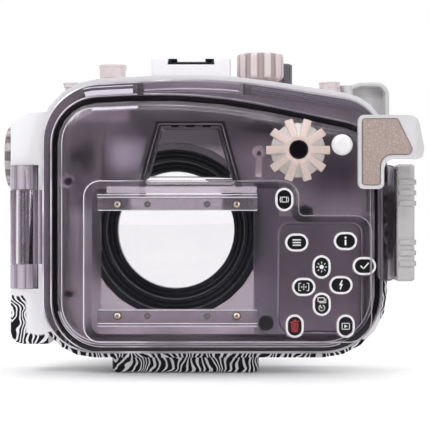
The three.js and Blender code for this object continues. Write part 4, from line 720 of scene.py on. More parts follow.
def see_through(name, color, roughness, tint, clear=1.0):
    """A clear, tinted or hazy glassy plastic."""
    material, shader, surface, output = new_material(name)
    finish_with(shader, surface, color, roughness, 0.02, 0.0, 0.0, 500.0)
    make_clear(shader, surface, output, clear, tint)
    return material


def highlight_streaks(shader, x):
    """Painted shade (0) and painted highlight (1) streaks side by side."""
    across = shader.add("ShaderNodeCombineXYZ", {"X": x, "Y": 0.0, "Z": 0.0}).outputs[0]
    return shader.ramp(shader.noise(across, 420.0, 3.0, 0.7)["Fac"], 0.38, 0.54)


def hinge_highlight_streaks():
    """The hinge's clear plastic, with pale and dark upright streaks painted side by side as
    highlights and shade.
    """
    material, shader, surface, output = new_material("hinge plastic with painted streaks")
    streak = highlight_streaks(shader, shader.split(shader.place())["X"])
    color = shader.blend(streak, HINGE_SHADE_STREAK, HINGE_HIGHLIGHT_STREAK)
    finish_with(shader, surface, color, 0.12, 0.03, 0.02, 0.0, 500.0)
    make_clear(shader, surface, output, 0.35, SMOKE_SHADE)
    return material


def smoke_lid():
    """Frosted smoke plastic, clear in the viewing window and in the raised window, with painted
    light and shade.
    """
    material, shader, surface, output = new_material("smoke lid")
    _, rail_top, _ = middle_of("screen_rail_upper")
    rail_low, _, _ = middle_of("screen_rail_lower")
    lid_low, lid_high, _ = middle_of("rear_lid")
    at = shader.split(shader.place())

    def zoned(color, zones):
        for zone_color, low_x, low_z, high_x, high_z, border in zones:
            zone = box_mask(shader, (low_x * MM, lid_low.y - ZONE_DEEP, low_z * MM),
                            (high_x * MM, lid_high.y + ZONE_DEEP, high_z * MM), border * MM)
            color = shader.blend(zone, color, zone_color)
        return color

    window = box_mask(
        shader, (rail_low.x + WINDOW_LEFT, lid_low.y, rail_low.z + MM),
        (rail_top.x - WINDOW_RIGHT, lid_high.y, rail_top.z - MM))
    half = shader.ramp(at["Z"], HUMP_FOOT_Z, HUMP_TOP_Z, HUMP_FOOT_HALF, HUMP_TOP_HALF, soft=False)
    aside = shader.math("ABSOLUTE", shader.math("SUBTRACT", at["X"], HUMP_X))
    deep = shader.math("SUBTRACT", half, aside)
    above = shader.ramp(at["Z"], rail_top.z - 3 * MM, rail_top.z - 2 * MM)
    raised = shader.times(
        shader.ramp(deep, HUMP_WALL, HUMP_WALL + HUMP_SOFT), above,
        shader.ramp(at["Z"], HUMP_TOP_Z - HUMP_WALL, HUMP_TOP_Z - HUMP_WALL + HUMP_SOFT,
                    1.0, 0.0))
    # Painted shade: a dark band on the raised window's side walls
    walled = shader.times(
        shader.ramp(deep, -0.4 * MM, 0.0), above,
        shader.ramp(at["Z"], HUMP_TOP_Z, HUMP_TOP_Z + 0.5 * MM, 1.0, 0.0))
    wall = shader.math("SUBTRACT", walled, raised, clamp=True)
    clear = shader.math("MAXIMUM", window, raised)
    flange = shader.ramp(at["Y"], (FLANGE_Y - RIM_SOFT) * MM, FLANGE_Y * MM)

    cloud = shader.ramp(shader.noise(shader.place(), 26.0, 2.5, 0.6)["Fac"], 0.3, 0.7, 0.72, 1.18)
    # Painted shade where the inside shows dim
    color = shader.scale(zoned(SMOKE_LID, PAINTED_SHADE_ZONES), cloud)
    # Then the flange, painted reflections on the roof and painted shade along the foot
    color = zoned(shader.blend(flange, color, SMOKE_FLANGE), REFLECTIONS_AND_FOOT_SHADE)
    # Painted highlight and shade streaks on the hinge knuckle
    knuckle = shader.blend(highlight_streaks(shader, at["X"]), SHADED_SMOKE_LOW, KNUCKLE_HIGHLIGHT)
    color = shader.blend(
        shader.ramp(at["X"], KNUCKLE_X, KNUCKLE_X + MM, 1.0, 0.0), color, knuckle)
    color = shader.blend(wall, color, SHADED_SMOKE_WALL)
    color = shader.blend(clear, color, SMOKE_CLEAR)
    frosted = shader.ramp(flange, 0.0, 1.0, 0.3, 0.07)
    roughness = shader.times(frosted, shader.math("SUBTRACT", 1.0, clear))
    finish_with(shader, surface, color, roughness, 0.05, 0.0, 0.0, 600.0)
    make_clear(shader, surface, output, 1.0, SMOKE_SHADE)
    return material


def printed_shell():
    """White moulded shell with a wavy black print round its lower part; its inner walls and the lip
    of its mouth take a painted shade, darkest behind the raised window.
    """
    material, shader, surface, _ = new_material("white printed shell")
    case_low, case_high, _ = middle_of("front_case")
    seal_low, seal_high, _ = middle_of("main_seal")
    place = shader.place()
    at = shader.split(place)
    facing = shader.split(shader.add("ShaderNodeNewGeometry").outputs["Normal"])
    line = shader.math("ADD", at["Z"], shader.times(
        shader.noise(place, 60.0)["Fac"], PRINT_RAGGED))

    def under(height):
        return shader.ramp(line, height, height + MM, 1.0, 0.0)

    on_side = shader.times(under(PRINT_SIDE_Z), shader.ramp(facing["Y"], -0.75, -0.6))
    block = seal_low.x - PRINT_BLOCK_AWAY
    on_block = shader.times(under(PRINT_BLOCK_Z), shader.ramp(
        at["X"], block - 1.5 * MM, block, 1.0, 0.0))
    by_latch = box_mask(shader, (seal_high.x + MM, case_low.y - MM, 0.0),
                        (case_high.x + MM, case_high.y, PRINT_LATCH_Z))
    printed = on_side
    for part in (under(PRINT_BACK_Z), on_block, by_latch):
        printed = shader.math("MAXIMUM", printed, part)

    # Walls that face inwards stay bare, and so do the lip of the mouth and the land of the seal;
    # the bare places take a painted shade instead of the white
    about = shader.split(shader.move(place, tuple(-(seal_low + seal_high) / 2)))
    outward = shader.math("ADD", shader.times(facing["X"], about["X"]),
                          shader.times(facing["Z"], about["Z"]))

    def bare_box(low_y, high_y):
        return box_mask(shader, (seal_low.x - BARE_LEFT, low_y, seal_low.z + MM),
                        (seal_high.x + BARE_RIGHT, high_y, seal_high.z))

    walls = shader.times(bare_box(case_low.y + 2 * MM, case_high.y - BARE_FRONT),
                         shader.ramp(outward, MM, 4 * MM, 1.0, 0.0),
                         shader.ramp(facing["Y"], 0.2, 0.4, 1.0, 0.0))
    lip = shader.times(bare_box(case_low.y - MM, case_low.y + LIP_DEEP),
                       shader.ramp(outward, -4 * MM, -MM, 1.0, 0.0))
    inside = shader.math("MAXIMUM", walls, lip)
    stripes = use_group(shader, STRIPES, PRINT_STRIPES)
    mask = shader.times(printed, shader.math("SUBTRACT", 1.0, inside), stripes.outputs["Mask"])
    # Painted shade, darkest in the bay behind the raised window
    (bay_left, bay_floor), (bay_right, bay_top) = HUMP_SHADE_BAY
    behind_hump = box_mask(shader, (bay_left, case_low.y - MM, bay_floor),
                           (bay_right, case_high.y, bay_top), HUMP_SHADE_BAY_SOFT)
    bay = shader.blend(behind_hump, SHELL_INSIDE_SHADE, SHELL_BAY_SHADE)
    color = shader.blend(mask, shader.blend(inside, SHELL_WHITE, bay), PRINT_BLACK)
    finish_with(shader, surface, color, 0.32, 0.04, 0.08, 0.06, 800.0)
    shader.set(surface.inputs["Specular IOR Level"], shader.ramp(mask, 0.0, 1.0, 0.55, 0.12))
    return material


def painted_glint():
    """Painted glints along the lid's edges, bright and dim by turns, brighter to the left and along
    the bottom.
    """
    material, shader, surface, _ = new_material("painted glint on lid edges")
    place = shader.place()
    at = shader.split(place)
    drift = shader.ramp(shader.noise(place, 34.0, 2.0, 0.6)["Fac"], 0.36, 0.6, 0.25, 1.0)
    lit = shader.math("MAXIMUM", shader.ramp(at["X"], -20 * MM, 20 * MM, 1.0, 0.3),
                      shader.ramp(at["Z"], 16 * MM, 22 * MM, 0.5, 0.0))
    color = shader.blend(shader.times(drift, lit), GLINT_DIM, GLINT_PALE)
    finish_with(shader, surface, color, 0.3, 0.03, 0.05, 0.0, 500.0)
    return material


def light_patch_finish():
    """Painted light behind the roof: a sheet that is pale in its middle and dark towards its edge.
    """
    material, shader, surface, _ = new_material("painted light patch behind roof")
    low, high = LIGHT_PATCH_BOX
    middle = box_mask(shader, low, high, LIGHT_PATCH_SOFT)
    color = shader.blend(middle, PAINTED_SHADE_GREY, LIGHT_PATCH_GREY)
    finish_with(shader, surface, color, 0.6, 0.5, 0.0, 0.0, 500.0)
    return material


def ringed_boss():
    """A pale boss with a dark bore, as the stops inside the lid look."""
    material, shader, surface, _ = new_material("ringed boss")
    across = shader.split(shader.move(
        shader.add("ShaderNodeTexCoord").outputs["Generated"], (-0.5, -0.5, -0.5)))
    reach = shader.reach(across["X"], across["Z"])
    color = shader.blend(shader.ramp(reach, 0.26, 0.36), RUBBER_BLACK, BOSS_PALE)
    finish_with(shader, surface, color, 0.5, 0.05, 0.05, 0.1, 900.0)
    return material


def barrel_black():
    """Satin black of the port, with a painted highlight on the rim of its hub above the lens."""
    material, shader, surface, _ = new_material("satin black barrel")
    low, _, middle = middle_of("port_barrel")
    at = shader.from_middle(middle)
    reach = shader.reach(at["X"], at["Z"])
    behind = low.y - middle.y + 2 * MM
    bore = PORT_BORES[0]
    rim = shader.times(shader.ramp(reach, bore - 0.2 * MM, bore),
                       shader.ramp(at["Z"], *HUB_LIT_Z),
                       shader.ramp(at["Y"], behind, behind + MM, 1.0, 0.0))
    color = shader.blend(rim, SATIN_BLACK, HUB_HIGHLIGHT_GREY)
    finish_with(shader, surface, color, 0.34, 0.1, 0.08, 0.05, 1200.0)
    return material


def grooved(name, node, axes, pale, deep):
    """A knob's plastic with painted shade towards the bottom of its grooves."""
    material, shader, surface, _ = new_material(name)
    low, high, middle = middle_of(node)
    radius = (high.z - low.z) / 2 if "Z" in axes else (high.x - low.x) / 2
    at = shader.from_middle(middle)
    reach = shader.reach(at[axes[0]], at[axes[1]])
    proud = shader.ramp(reach, GROOVE_SPAN[0] * radius, GROOVE_SPAN[1] * radius)
    finish_with(shader, surface, shader.blend(proud, deep, pale), 0.42, 0.05, 0.08, 0.15, 900.0)
    return material


def dial_plastic():
    """The rear dial: warm beige bars on a greyer cone."""
    material, shader, surface, _ = new_material("beige dial moulding")
    low, high, middle = middle_of("rear_dial_knob")
    at = shader.from_middle(middle)
    reach = shader.reach(at["X"], at["Z"])
    half = (high.y - low.y) / 2
    cone = shader.ramp(reach, DIAL_CONE_TOP, DIAL_CONE_FOOT, DIAL_CONE_DROP - half,
                       half - DIAL_RIM, soft=False)
    bar = shader.ramp(shader.math("SUBTRACT", cone, at["Y"]), 0.1 * MM, 0.5 * MM)
    color = shader.blend(bar, DIAL_GREY, DIAL_BEIGE)
    finish_with(shader, surface, color, 0.45, 0.06, 0.08, 0.2, 900.0)
    return material


def grained_skin():
    """Soft grip skin with shallow wrinkles."""
    material, shader, surface, _ = new_material("grained grip skin")
    place = shader.place()
    wander = shader.scale(shader.noise(place, 520.0, 1.0)["Color"], 1.3 * MM)
    cells = shader.add("ShaderNodeTexVoronoi", {
        "Vector": shader.move(place, wander), "Scale": 720.0}, feature="DISTANCE_TO_EDGE")
    hill = shader.ramp(cells.outputs["Distance"], 0.0, 0.28)
    color = shader.blend(hill, tuple(c * 0.78 for c in PAD_TAUPE), PAD_TAUPE)
    finish_with(shader, surface, color, 0.66, 0.08, 0.1, 0.1, 3000.0)
    shader.set(surface.inputs["Normal"], shader.bump(hill, 0.35, 0.2 * MM))
    return material


FINISH = {
    "lid": smoke_lid(),
    "shell": printed_shell(),
    # The tray takes the painted shade of the case's inside
    "tray": plastic("tray moulding in painted shade", SHELL_INSIDE_SHADE, 0.4, 0.04, 0.05),
    "hinge": hinge_highlight_streaks(),
    "rail": see_through("hazy rail plastic", CLEAR_RAIL, 0.08, SMOKE_SHADE, 0.8),
    # Painted highlight on the pocket's upper slope
    "slope_highlight": see_through("pocket slope painted highlight", SLOPE_HIGHLIGHT, 0.08, SMOKE_SHADE, 0.45),
    # Painted glints along the lid's edges
    "glint": painted_glint(),
    "ridge": plastic("fine flange ridge", RIDGE_GREY, 0.35, 0.2, 0.0),
    # Painted sheen on the lid's flange and roof
    "sheen": plastic("painted sheen on lid", SHEEN_PALE, 0.3, 0.15, 0.0),
    # Painted shade at the ends of the opening strip
    "notch_shade": plastic("painted shade at strip ends", PAINTED_SHADE_GREY, 0.4, 0.3, 0.0),
    # Painted light behind the roof
    "pale_patch": light_patch_finish(),
    "boss": ringed_boss(),
    "rubber": plastic("black rubber", RUBBER_BLACK, 0.62, 0.1, 0.3, 1500.0),
    "satin": plastic("satin black", SATIN_BLACK, 0.34, 0.1, 0.1, 1200.0),
    "plug": plastic("dark grey moulding", PLUG_GREY, 0.4, 0.08, 0.2, 1200.0),
    "grey": plastic("light grey moulding", GREY_MOULDING, 0.42, 0.05, 0.25, 1400.0),
    "latch": plastic("latch grey moulding", LATCH_GREY, 0.42, 0.05, 0.25, 1400.0),
    "lever": plastic("lever grey moulding", LEVER_GREY, 0.5, 0.05, 0.25, 1400.0),
    "knob": plastic("pale beige moulding", KNOB_BEIGE, 0.42, 0.05, 0.15, 900.0),
    # Painted shade in the knobs' grooves
    "mode": grooved("mode knob moulding", "mode_knob", "XY", KNOB_BEIGE, KNOB_GROOVE_SHADE),
    "zoom": grooved("zoom knob moulding", "zoom_knob", "YZ", ZOOM_TAUPE, ZOOM_GROOVE_SHADE),
    "dial": dial_plastic(),
    # Painted highlight on the rim of the port's hub
    "barrel": barrel_black(),
    "skin": grained_skin(),
    "button": plastic("gloss white", BUTTON_WHITE, 0.25, 0.03, 0.03, 700.0, 0.4),
    "stem": plastic("dark stem", STEM_GREY, 0.4, 0.05, 0.05),
    "inlay": plastic("gloss black inlay", GLOSS_BLACK, 0.3, 0.1, 0.05),
    "gloss": plastic("gloss black", GLOSS_BLACK, 0.12, 0.1, 0.02),
    "hole": plastic("empty hole", HOLE_GREY, 0.5, 0.1, 0.0),
    "icon": plastic("white print", ICON_WHITE, 0.5, 0.03, 0.02),
    "red": plastic("red print", ICON_RED, 0.5, 0.05, 0.02),
    # Painted highlights along the rails' edges
    "rail_highlight": plastic("painted rail edge highlight", RAIL_EDGE_HIGHLIGHT, 0.2, 0.05, 0.02),
    "steel": metal("stainless steel", STEEL),
    "brass": metal("brass", BRASS, 0.32),
    "glass": see_through("port glass", GLASS, 0.0, GLASS_SHADE),
}

OVAL_NAMES = ("menu", "info", "up", "ok", "focus", "flash", "drive", "delete", "play", "display")
NODE_FINISHES = {
    "lid": ("rear_lid",),
    "shell": ("front_case",),
    "tray": ("camera_tray",),
    "hinge": ("hinge_bracket",),
    "rail": ("screen_rail_upper", "screen_rail_lower"),
    "rubber": ("main_seal", "port_seal", "bumper_low_middle", "bumper_step", "rear_dial_wheel"),
    "boss": ("bumper_upper_left", "bumper_lower_left"),
    "satin": ("port_barrel", "port_retaining_ring", "cold_shoe", "mode_shaft", "zoom_shaft"),
    "gloss": ("rear_dial_cap",),
    "plug": ("accessory_plug",),
    "grey": ("latch_base", "thumb_rest_frame"),
    "latch": ("latch_lever",),
    "lever": ("shutter_lever",),
    "knob": ("mode_knob", "zoom_knob", "button_top_left", "button_top_small", "button_top_right"),
    "dial": ("rear_dial_knob",),
    "skin": ("thumb_rest_pad",),
    "button": ("button_dome", "latch_slide") + tuple("button_" + name for name in OVAL_NAMES),
    "steel": ("hinge_pin", "latch_pin", "latch_claw", "latch_claw_pin", "shutter_shaft",
              "rear_dial_shaft"),
    "brass": ("tripod_bush",),
    "glass": ("port_glass",),
}
FINE_NODES = ("button_", "screen_rail", "cold_shoe", "rear_dial", "latch_slide", "tripod")
NO_BEVEL = ("port_glass", "main_seal", "port_seal")


def dress(name, material):
    """Gives a node of the frame its finish, rounded edges and smooth shading."""
    node = nodes[name]
    node.data.materials.clear()
    node.data.materials.append(material)
    for polygon in node.data.polygons:
        polygon.use_smooth = True
        polygon.material_index = 0
    weld = node.modifiers.new("weld", "WELD")
    weld.merge_threshold = NODE_WELD
    if name not in NO_BEVEL:
        bevel = node.modifiers.new("edges", "BEVEL")
        bevel.width = FINE_EDGE_ROUND if name.startswith(FINE_NODES) else EDGE_ROUND
        bevel.segments = 2
        bevel.limit_method = "ANGLE"
        bevel.angle_limit = EDGE_ANGLE
        bevel.use_clamp_overlap = True
    shade = node.modifiers.new("shade", "WEIGHTED_NORMAL")
    shade.mode = "FACE_AREA"
    shade.weight = 50


for key, names in NODE_FINISHES.items():
    for node_name in names:
        dress(node_name, FINISH[key])


# Push buttons: cap, stem, black inlay and the pictogram printed on it


def icon_shapes(name):
    """Outlines of a pictogram, drawn within a square from -1 to 1."""
    if name == "menu":
        return [rectangle(-0.7, z - 0.1, 0.7, z + 0.1) for z in (0.45, 0.0, -0.45)]
    if name == "info":
        return [circle((0, 0.6), 0.19, 12)] + stroke([(0, 0.1), (0, -0.55)], 0.28)
    if name == "up":
        rays = [[(share * math.cos(turn), share * math.sin(turn)) for share in (0.66, 0.84)]
                for turn in (math.radians(45 * k) for k in range(8))]
        return [circle((0, 0), 0.36, 20)] + [part for ray in rays for part in stroke(ray, 0.13)]
    if name == "ok":
        return stroke([(-0.6, 0.0), (-0.15, -0.45), (0.65, 0.5)], 0.22)
    if name == "focus":
        corners = [part for side in (-1, 1) for part in stroke(
            [(side * 0.55, 0.62), (side * 0.85, 0.62), (side * 0.85, -0.62), (side * 0.55, -0.62)],
            0.14)]
        places = ((0, 0), (0.34, 0), (-0.34, 0), (0, 0.36), (0, -0.36))
        return corners + [circle(at, 0.12, 10) for at in places]
    if name == "flash":
        return [[(0.12, 0.85), (-0.34, -0.05), (-0.02, -0.05), (-0.16, -0.5), (0.02, -0.5),
                 (0.34, 0.18), (0.04, 0.18), (0.30, 0.85)],
                [(-0.26, -0.42), (0.14, -0.42), (-0.12, -0.86)]]
    if name == "drive":
        frames = stroke([(-0.55, 0.95), (0.35, 0.95), (0.35, 0.42), (-0.55, 0.42)], 0.13, True)
        shadow = stroke([(0.58, 0.78), (0.58, 0.24), (-0.3, 0.24)], 0.12)
        ring = [(0.42 * math.cos(math.radians(t)), -0.52 + 0.42 * math.sin(math.radians(t)))
                for t in range(120, 421, 30)]
        return frames + shadow + stroke(ring, 0.14) + stroke([(0, -0.52), (-0.2, -0.3)], 0.14)
    if name == "delete":
        lid = stroke([(-0.62, 0.56), (0.55, 0.72)], 0.15)
        lid += stroke([(-0.12, 0.86), (0.18, 0.9)], 0.13)
        body = stroke([(-0.45, 0.36), (-0.36, -0.75), (0.36, -0.75), (0.45, 0.36)], 0.15, True)
        bars = [part for x in (-0.16, 0.0, 0.16) for part in stroke([(x, 0.2), (x, -0.58)], 0.09)]
        return lid + body + bars
    if name == "play":
        box = stroke([(-0.62, 0.5), (0.62, 0.5), (0.62, -0.5), (-0.62, -0.5)], 0.13, True)
        return box + [[(-0.24, 0.28), (-0.24, -0.28), (0.3, 0.0)]]
    sides = [part for side in (-1, 1) for part in stroke(
        [(side * 0.62, 0.42), (side * 0.72, 0.0), (side * 0.62, -0.42)], 0.13)]
    box = stroke([(-0.4, 0.42), (0.4, 0.42), (0.4, -0.42), (-0.4, -0.42)], 0.12, True)
    return sides + box


def push_stem(name, centre, back, end):
    """The dark stem behind a cap, with the disc that keeps it in the lid."""
    disc = end - STEM_TAIL - STEM_DISC_THICK
    profile = [(STEM_RADIUS, back - STEM_GAP), (STEM_RADIUS, disc), (STEM_DISC, disc),
               (STEM_DISC, disc + STEM_DISC_THICK), (STEM_RADIUS, disc + STEM_DISC_THICK),
               (STEM_RADIUS, end)]
    skin_piece("stem_" + name, turned_rings("y", centre, profile, SCREW_STEPS), "button_" + name,
               "stem", "white_button")


def oval_button(name):
    """An oval cap with a raised rim, its stem, its inlay and its pictogram."""
    node = "button_" + name
    low, high, middle = middle_of(node)
    centre = (middle.x, middle.z)
    width = high.x - low.x
    height = high.z - low.z
    front = low.y
    back = front + CAP_THICK
    floor = front + CAP_RECESS

    def ovals(profile, rim):
        return [[(x, y, z) for x, z in oval(
            centre, width - 2 * (rim + inset), height - 2 * (rim + inset))]
                for inset, y in profile]

    cap = soften([
        (CAP_RIM + 0.8 * MM, floor), (CAP_RIM, floor), (CAP_RIM, front), (0.0, front),
        (0.0, back), (CAP_RIM, back)], 0.45 * MM)
    skin_piece("cap_" + name, ovals(cap, 0.0), node, "button", "white_button", stands_for=node)
    push_stem(name, centre, back, high.y)

    face = floor - INLAY_THICK
    inlay = soften([(0.6 * MM, face), (0.0, face), (0.0, floor - SKIN)], 0.15 * MM)
    skin_piece("inlay_" + name, ovals(inlay, CAP_RIM + SKIN), node, "inlay", "white_button")

    unit = (min(width, height) / 2 - CAP_RIM) * ICON_SHARE * ICON_GROWTH.get(name, 1.0)
    shapes = [[(centre[0] + x * unit, centre[1] + z * unit) for x, z in shape]
              for shape in icon_shapes(name)]
    plate_piece("icon_" + name, shapes, face - ICON_THICK, face - SKIN, node,
                "red" if name == "delete" else "icon", "white_button", 20)


def dome_button():
    low, high, middle = middle_of("button_dome")
    radius = (high.z - low.z) / 2
    back = low.y + DOME_HIGH
    rim = back - DOME_RIM
    rise = rim - low.y
    turns = [math.radians(t) for t in range(4, 91, 8)] + [math.pi / 2]
    profile = [(radius * math.sin(t), rim - rise * math.cos(t)) for t in turns]
    profile += soften([(radius, rim), (radius, back), (radius - CAP_RIM, back)], 0.3 * MM)[1:]
    centre = (middle.x, middle.z)
    skin_piece("cap_dome", turned_rings("y", centre, profile), "button_dome", "button",
               "white_button", 50, stands_for="button_dome")
    push_stem("dome", centre, back, high.y)


for oval_name in OVAL_NAMES:
    oval_button(oval_name)
dome_button()


# Knobs, dial and top buttons


def ribbed_ring(place, along, core, tip, shape):
    """A closed ring whose radius steps between core and tip; shape gives turn and share."""
    ring = []
    for rib in range(KNOB_RIBS):
        for turn, share in shape:
            angle = 2 * math.pi * rib / KNOB_RIBS + turn
            radius = core + (tip - core) * share
            ring.append(place(radius * math.cos(angle), radius * math.sin(angle), along))
    return ring


def fluted_knob(node, finish, place, radius, height):
    """A knob with ten rounded ribs and a shallow dish in its top."""
    core = radius * KNOB_CORE
    edge = radius * KNOB_EDGE
    foot = radius * KNOB_FOOT
    dish = core * KNOB_DISH
    slope = KNOB_RIB * 1.25
    shape = [(-slope, 0.0), (-KNOB_RIB * 1.05, 0.75), (-KNOB_RIB * 0.85, 1.0), (0.0, 1.0),
             (KNOB_RIB * 0.85, 1.0), (KNOB_RIB * 1.05, 0.75), (slope, 0.0),
             (slope * 1.5, 0.0), (KNOB_PITCH - slope * 1.5, 0.0)]
    levels = [
        (0.0, foot, foot), (0.4 * edge, foot + 0.4 * (core - foot), foot + 0.3 * (radius - foot)),
        (edge, core, foot + 0.7 * (radius - foot)), (1.8 * edge, core, radius - 0.15 * edge),
        (2.3 * edge, core, radius), (height - 1.4 * edge, core, radius),
        (height - 0.8 * edge, core, radius - 0.12 * edge),
        (height - 0.4 * edge, core - 0.1 * edge, radius - 0.4 * edge),
        (height - 0.25 * edge, core - 0.25 * edge, radius - 0.8 * edge),
        (height - 0.08 * edge, core - 0.35 * edge, core - 0.3 * edge),
        (height, core - 0.7 * edge, core - 0.7 * edge),
        (height, dish + 0.7 * edge, dish + 0.7 * edge),
        (height - 0.15 * edge, dish + 0.4 * edge, dish + 0.4 * edge),
        (height - 0.5 * edge, dish, dish),
    ]
    rings = [ribbed_ring(place, *level, shape) for level in levels]
    skin_piece(node + "_ribbed", rings, node, finish, "beige_plastic", 40, stands_for=node)


def rear_dial():
    """A conical dial with ten raised bars and a hole in its hub."""
    low, high, middle = middle_of("rear_dial_knob")
    front = low.y
    base = high.y
    shoulder = base - DIAL_RIM
    tip = (high.x - low.x) / 2
    bar_end = shoulder - DIAL_PROUD
    cone = [(DIAL_CONE_TOP, front + DIAL_CONE_DROP), (DIAL_CONE_FOOT, shoulder)]
    bar = [(DIAL_CONE_TOP, front + 0.15 * MM), (tip - 0.5 * MM, bar_end - 0.1 * MM)]

    def between(ends, share):
        return [a + (b - a) * share for a, b in zip(*ends)]

    levels = [
        ((DIAL_HOLE - MM, front + DIAL_DEEP), None), ((DIAL_HOLE, front + DIAL_DEEP), None),
        ((DIAL_HOLE, front + 0.35 * MM), None), ((DIAL_HOLE + 0.12 * MM, front + 0.12 * MM), None),
        ((DIAL_HOLE + 0.4 * MM, front), None), ((DIAL_HUB, front), None),
        ((DIAL_HUB + 0.4 * MM, front + 0.25 * MM), (DIAL_HUB + 0.4 * MM, front + 0.05 * MM)),
    ]
    levels += [(between(cone, i / 8), between(bar, i / 8)) for i in range(9)]
    levels += [
        ((DIAL_BODY - 0.08 * MM, shoulder + 0.12 * MM), (tip - 0.12 * MM, bar_end + 0.12 * MM)),
        ((DIAL_BODY, shoulder + 0.4 * MM), (tip, bar_end + 0.5 * MM)),
        ((DIAL_BODY, base - 0.5 * MM), (tip, base - 0.5 * MM)),
        ((DIAL_BODY - 0.3 * MM, base), (tip - 0.3 * MM, base - 0.3 * MM)),
        ((DIAL_HUB, base), None),
    ]
    rings = []
    for body, rib in levels:
        rib = rib or body
        half = DIAL_RIB / 2 * (DIAL_RIB_ROOT + (1 - DIAL_RIB_ROOT) * rib[0] / tip)
        turn = math.asin(min(half / rib[0], 0.9))
        root = math.asin(min((half + 0.12 * MM) / body[0], 0.9))
        soft = (rib[1] - body[1]) * 0.12
        third = (KNOB_PITCH - 2 * root) / 3
        shape = [(-root, *body), (-turn, rib[0], rib[1] - soft), (-turn * 0.82, *rib), (0.0, *rib),
                 (turn * 0.82, *rib), (turn, rib[0], rib[1] - soft), (root, *body),
                 (root + third, *body), (KNOB_PITCH - root - third, *body)]
        rings.append([
            (middle.x + radius * math.cos(2 * math.pi * k / KNOB_RIBS + angle), y,
             middle.z + radius * math.sin(2 * math.pi * k / KNOB_RIBS + angle))
            for k in range(KNOB_RIBS) for angle, radius, y in shape])
    skin_piece("rear_dial_ribbed", rings, "rear_dial", "dial", "beige_plastic", 32,
               stands_for="rear_dial_knob")


def top_button(name, cap_height, collar):
    """A round cap over a collar, on a stem that runs into the case."""
    node = "button_top_" + name
    low, high, middle = middle_of(node)
    radius = (high.x - low.x) / 2
    under = high.z - cap_height
    stem_end = low.z + TOP_STEM
    lip = min(cap_height * 0.3, 1.4 * MM)
    profile = [(TOP_STEM_RADIUS, low.z), (TOP_STEM_RADIUS, stem_end), (collar, stem_end),
               (collar, under)]
    profile += soften([
        (collar, under), (radius - 0.35 * MM, under), (radius - 0.35 * MM, high.z - lip - 0.3 * MM),
        (radius, high.z - lip), (radius, high.z), (radius - 1.6 * MM, high.z),
        (radius - 2.0 * MM, high.z - 0.25 * MM), (radius * 0.3, high.z - 0.3 * MM)], 0.5 * MM)[1:]
    skin_piece(node + "_round", turned_rings("z", (middle.x, middle.y), profile), node, "knob",
               "beige_plastic", 40, stands_for=node)


def mode_knob():
    low, high, middle = middle_of("mode_knob")
    fluted_knob("mode_knob", "mode", lambda u, v, w: (middle.x + u, middle.y + v, low.z + w),
                (high.x - low.x) / 2, high.z - low.z)


def zoom_knob():
    low, high, middle = middle_of("zoom_knob")
    fluted_knob("zoom_knob", "zoom", lambda u, v, w: (high.x - w, middle.y + v, middle.z + u),
                (high.z - low.z) / 2, high.x - low.x)


mode_knob()
zoom_knob()
rear_dial()
top_button("left", 6.2 * MM, 4.95 * MM)
top_button("small", 2.3 * MM, 2.5 * MM)
top_button("right", 2.9 * MM, 4.3 * MM)


# Lens port: barrel with stepped bores and fluted lip, and the ring that holds the glass


def port_barrel():
    low, high, middle = middle_of("port_barrel")
    glass_low, glass_high, _ = middle_of("port_glass")
    boss = (high.x - low.x) / 2
    seat = glass_low.y - PORT_GAP
    first, second, third = PORT_BORES
    step_one, step_two = PORT_STEP_Y
    glass_room = (glass_high.x - glass_low.x) / 2 + PORT_GAP
    lip = high.y - PORT_LIP_LONG

    def ridges(inner, outer, y):
        """Two fine ridges on a step of the bore."""
        points = []
        for share in (0.3, 0.7):
            radius = inner + (outer - inner) * share
            points += [(radius - PORT_RIDGE, y), (radius - PORT_RIDGE / 2, y - PORT_RIDGE),
                       (radius + PORT_RIDGE / 2, y - PORT_RIDGE), (radius + PORT_RIDGE, y)]
        return points

    profile = [
        (PORT_HUB, low.y), (PORT_HUB, PORT_SEAT_Y), (boss, PORT_SEAT_Y),
        (boss, PORT_SEAT_Y + PORT_FLANGE), (PORT_TUBE, PORT_SEAT_Y + PORT_FLANGE),
        (PORT_TUBE, lip - MM), (PORT_LIP, lip), (PORT_LIP, high.y), (glass_room, high.y),
        (glass_room, seat), (third, seat), (third, step_two),
        *ridges(third, second, step_two), (second, step_two), (second, step_one),
        *ridges(second, first, step_one), (first, step_one), (first, low.y),
    ]
    profile = soften(profile, 0.4 * MM, 2)
    pitch = 360 / PORT_FLUTES
    spots = [(math.radians(pitch * k + pitch / 2 + turn), depth)
             for k in range(PORT_FLUTES) for turn, depth in PORT_FLUTE]
    rings = []
    for radius, y in profile:
        cut = PORT_FLUTE_DEEP if radius > PORT_LIP - 0.7 * MM and y > lip - 0.6 * MM else 0.0
        rings.append([
            (middle.x + (radius - cut * depth) * math.cos(angle), y,
             middle.z + (radius - cut * depth) * math.sin(angle)) for angle, depth in spots])
    skin_piece("port_barrel_round", rings, "case", "barrel", "black_plastic", 40, loop=True,
               stands_for="port_barrel")


def retaining_ring():
    low, high, middle = middle_of("port_retaining_ring")
    outer = (high.x - low.x) / 2
    inner = PORT_BORES[2] + MM
    profile = [(inner, low.y), (outer, low.y), (outer, high.y), (inner + 2.4 * MM, high.y),
               (inner + 1.6 * MM, high.y - 0.4 * MM), (inner + MM, high.y - 0.4 * MM),
               (inner, low.y + 0.8 * MM)]
    rings = turned_rings("y", (middle.x, middle.z), profile, PORT_STEPS)
    skin_piece("port_retaining_ring_round", rings, "case", "satin", "black_plastic", loop=True,
               stands_for="port_retaining_ring")


port_barrel()
retaining_ring()


# Rails: painted highlights along their edges, brass screws and the dark seats of the empty holes


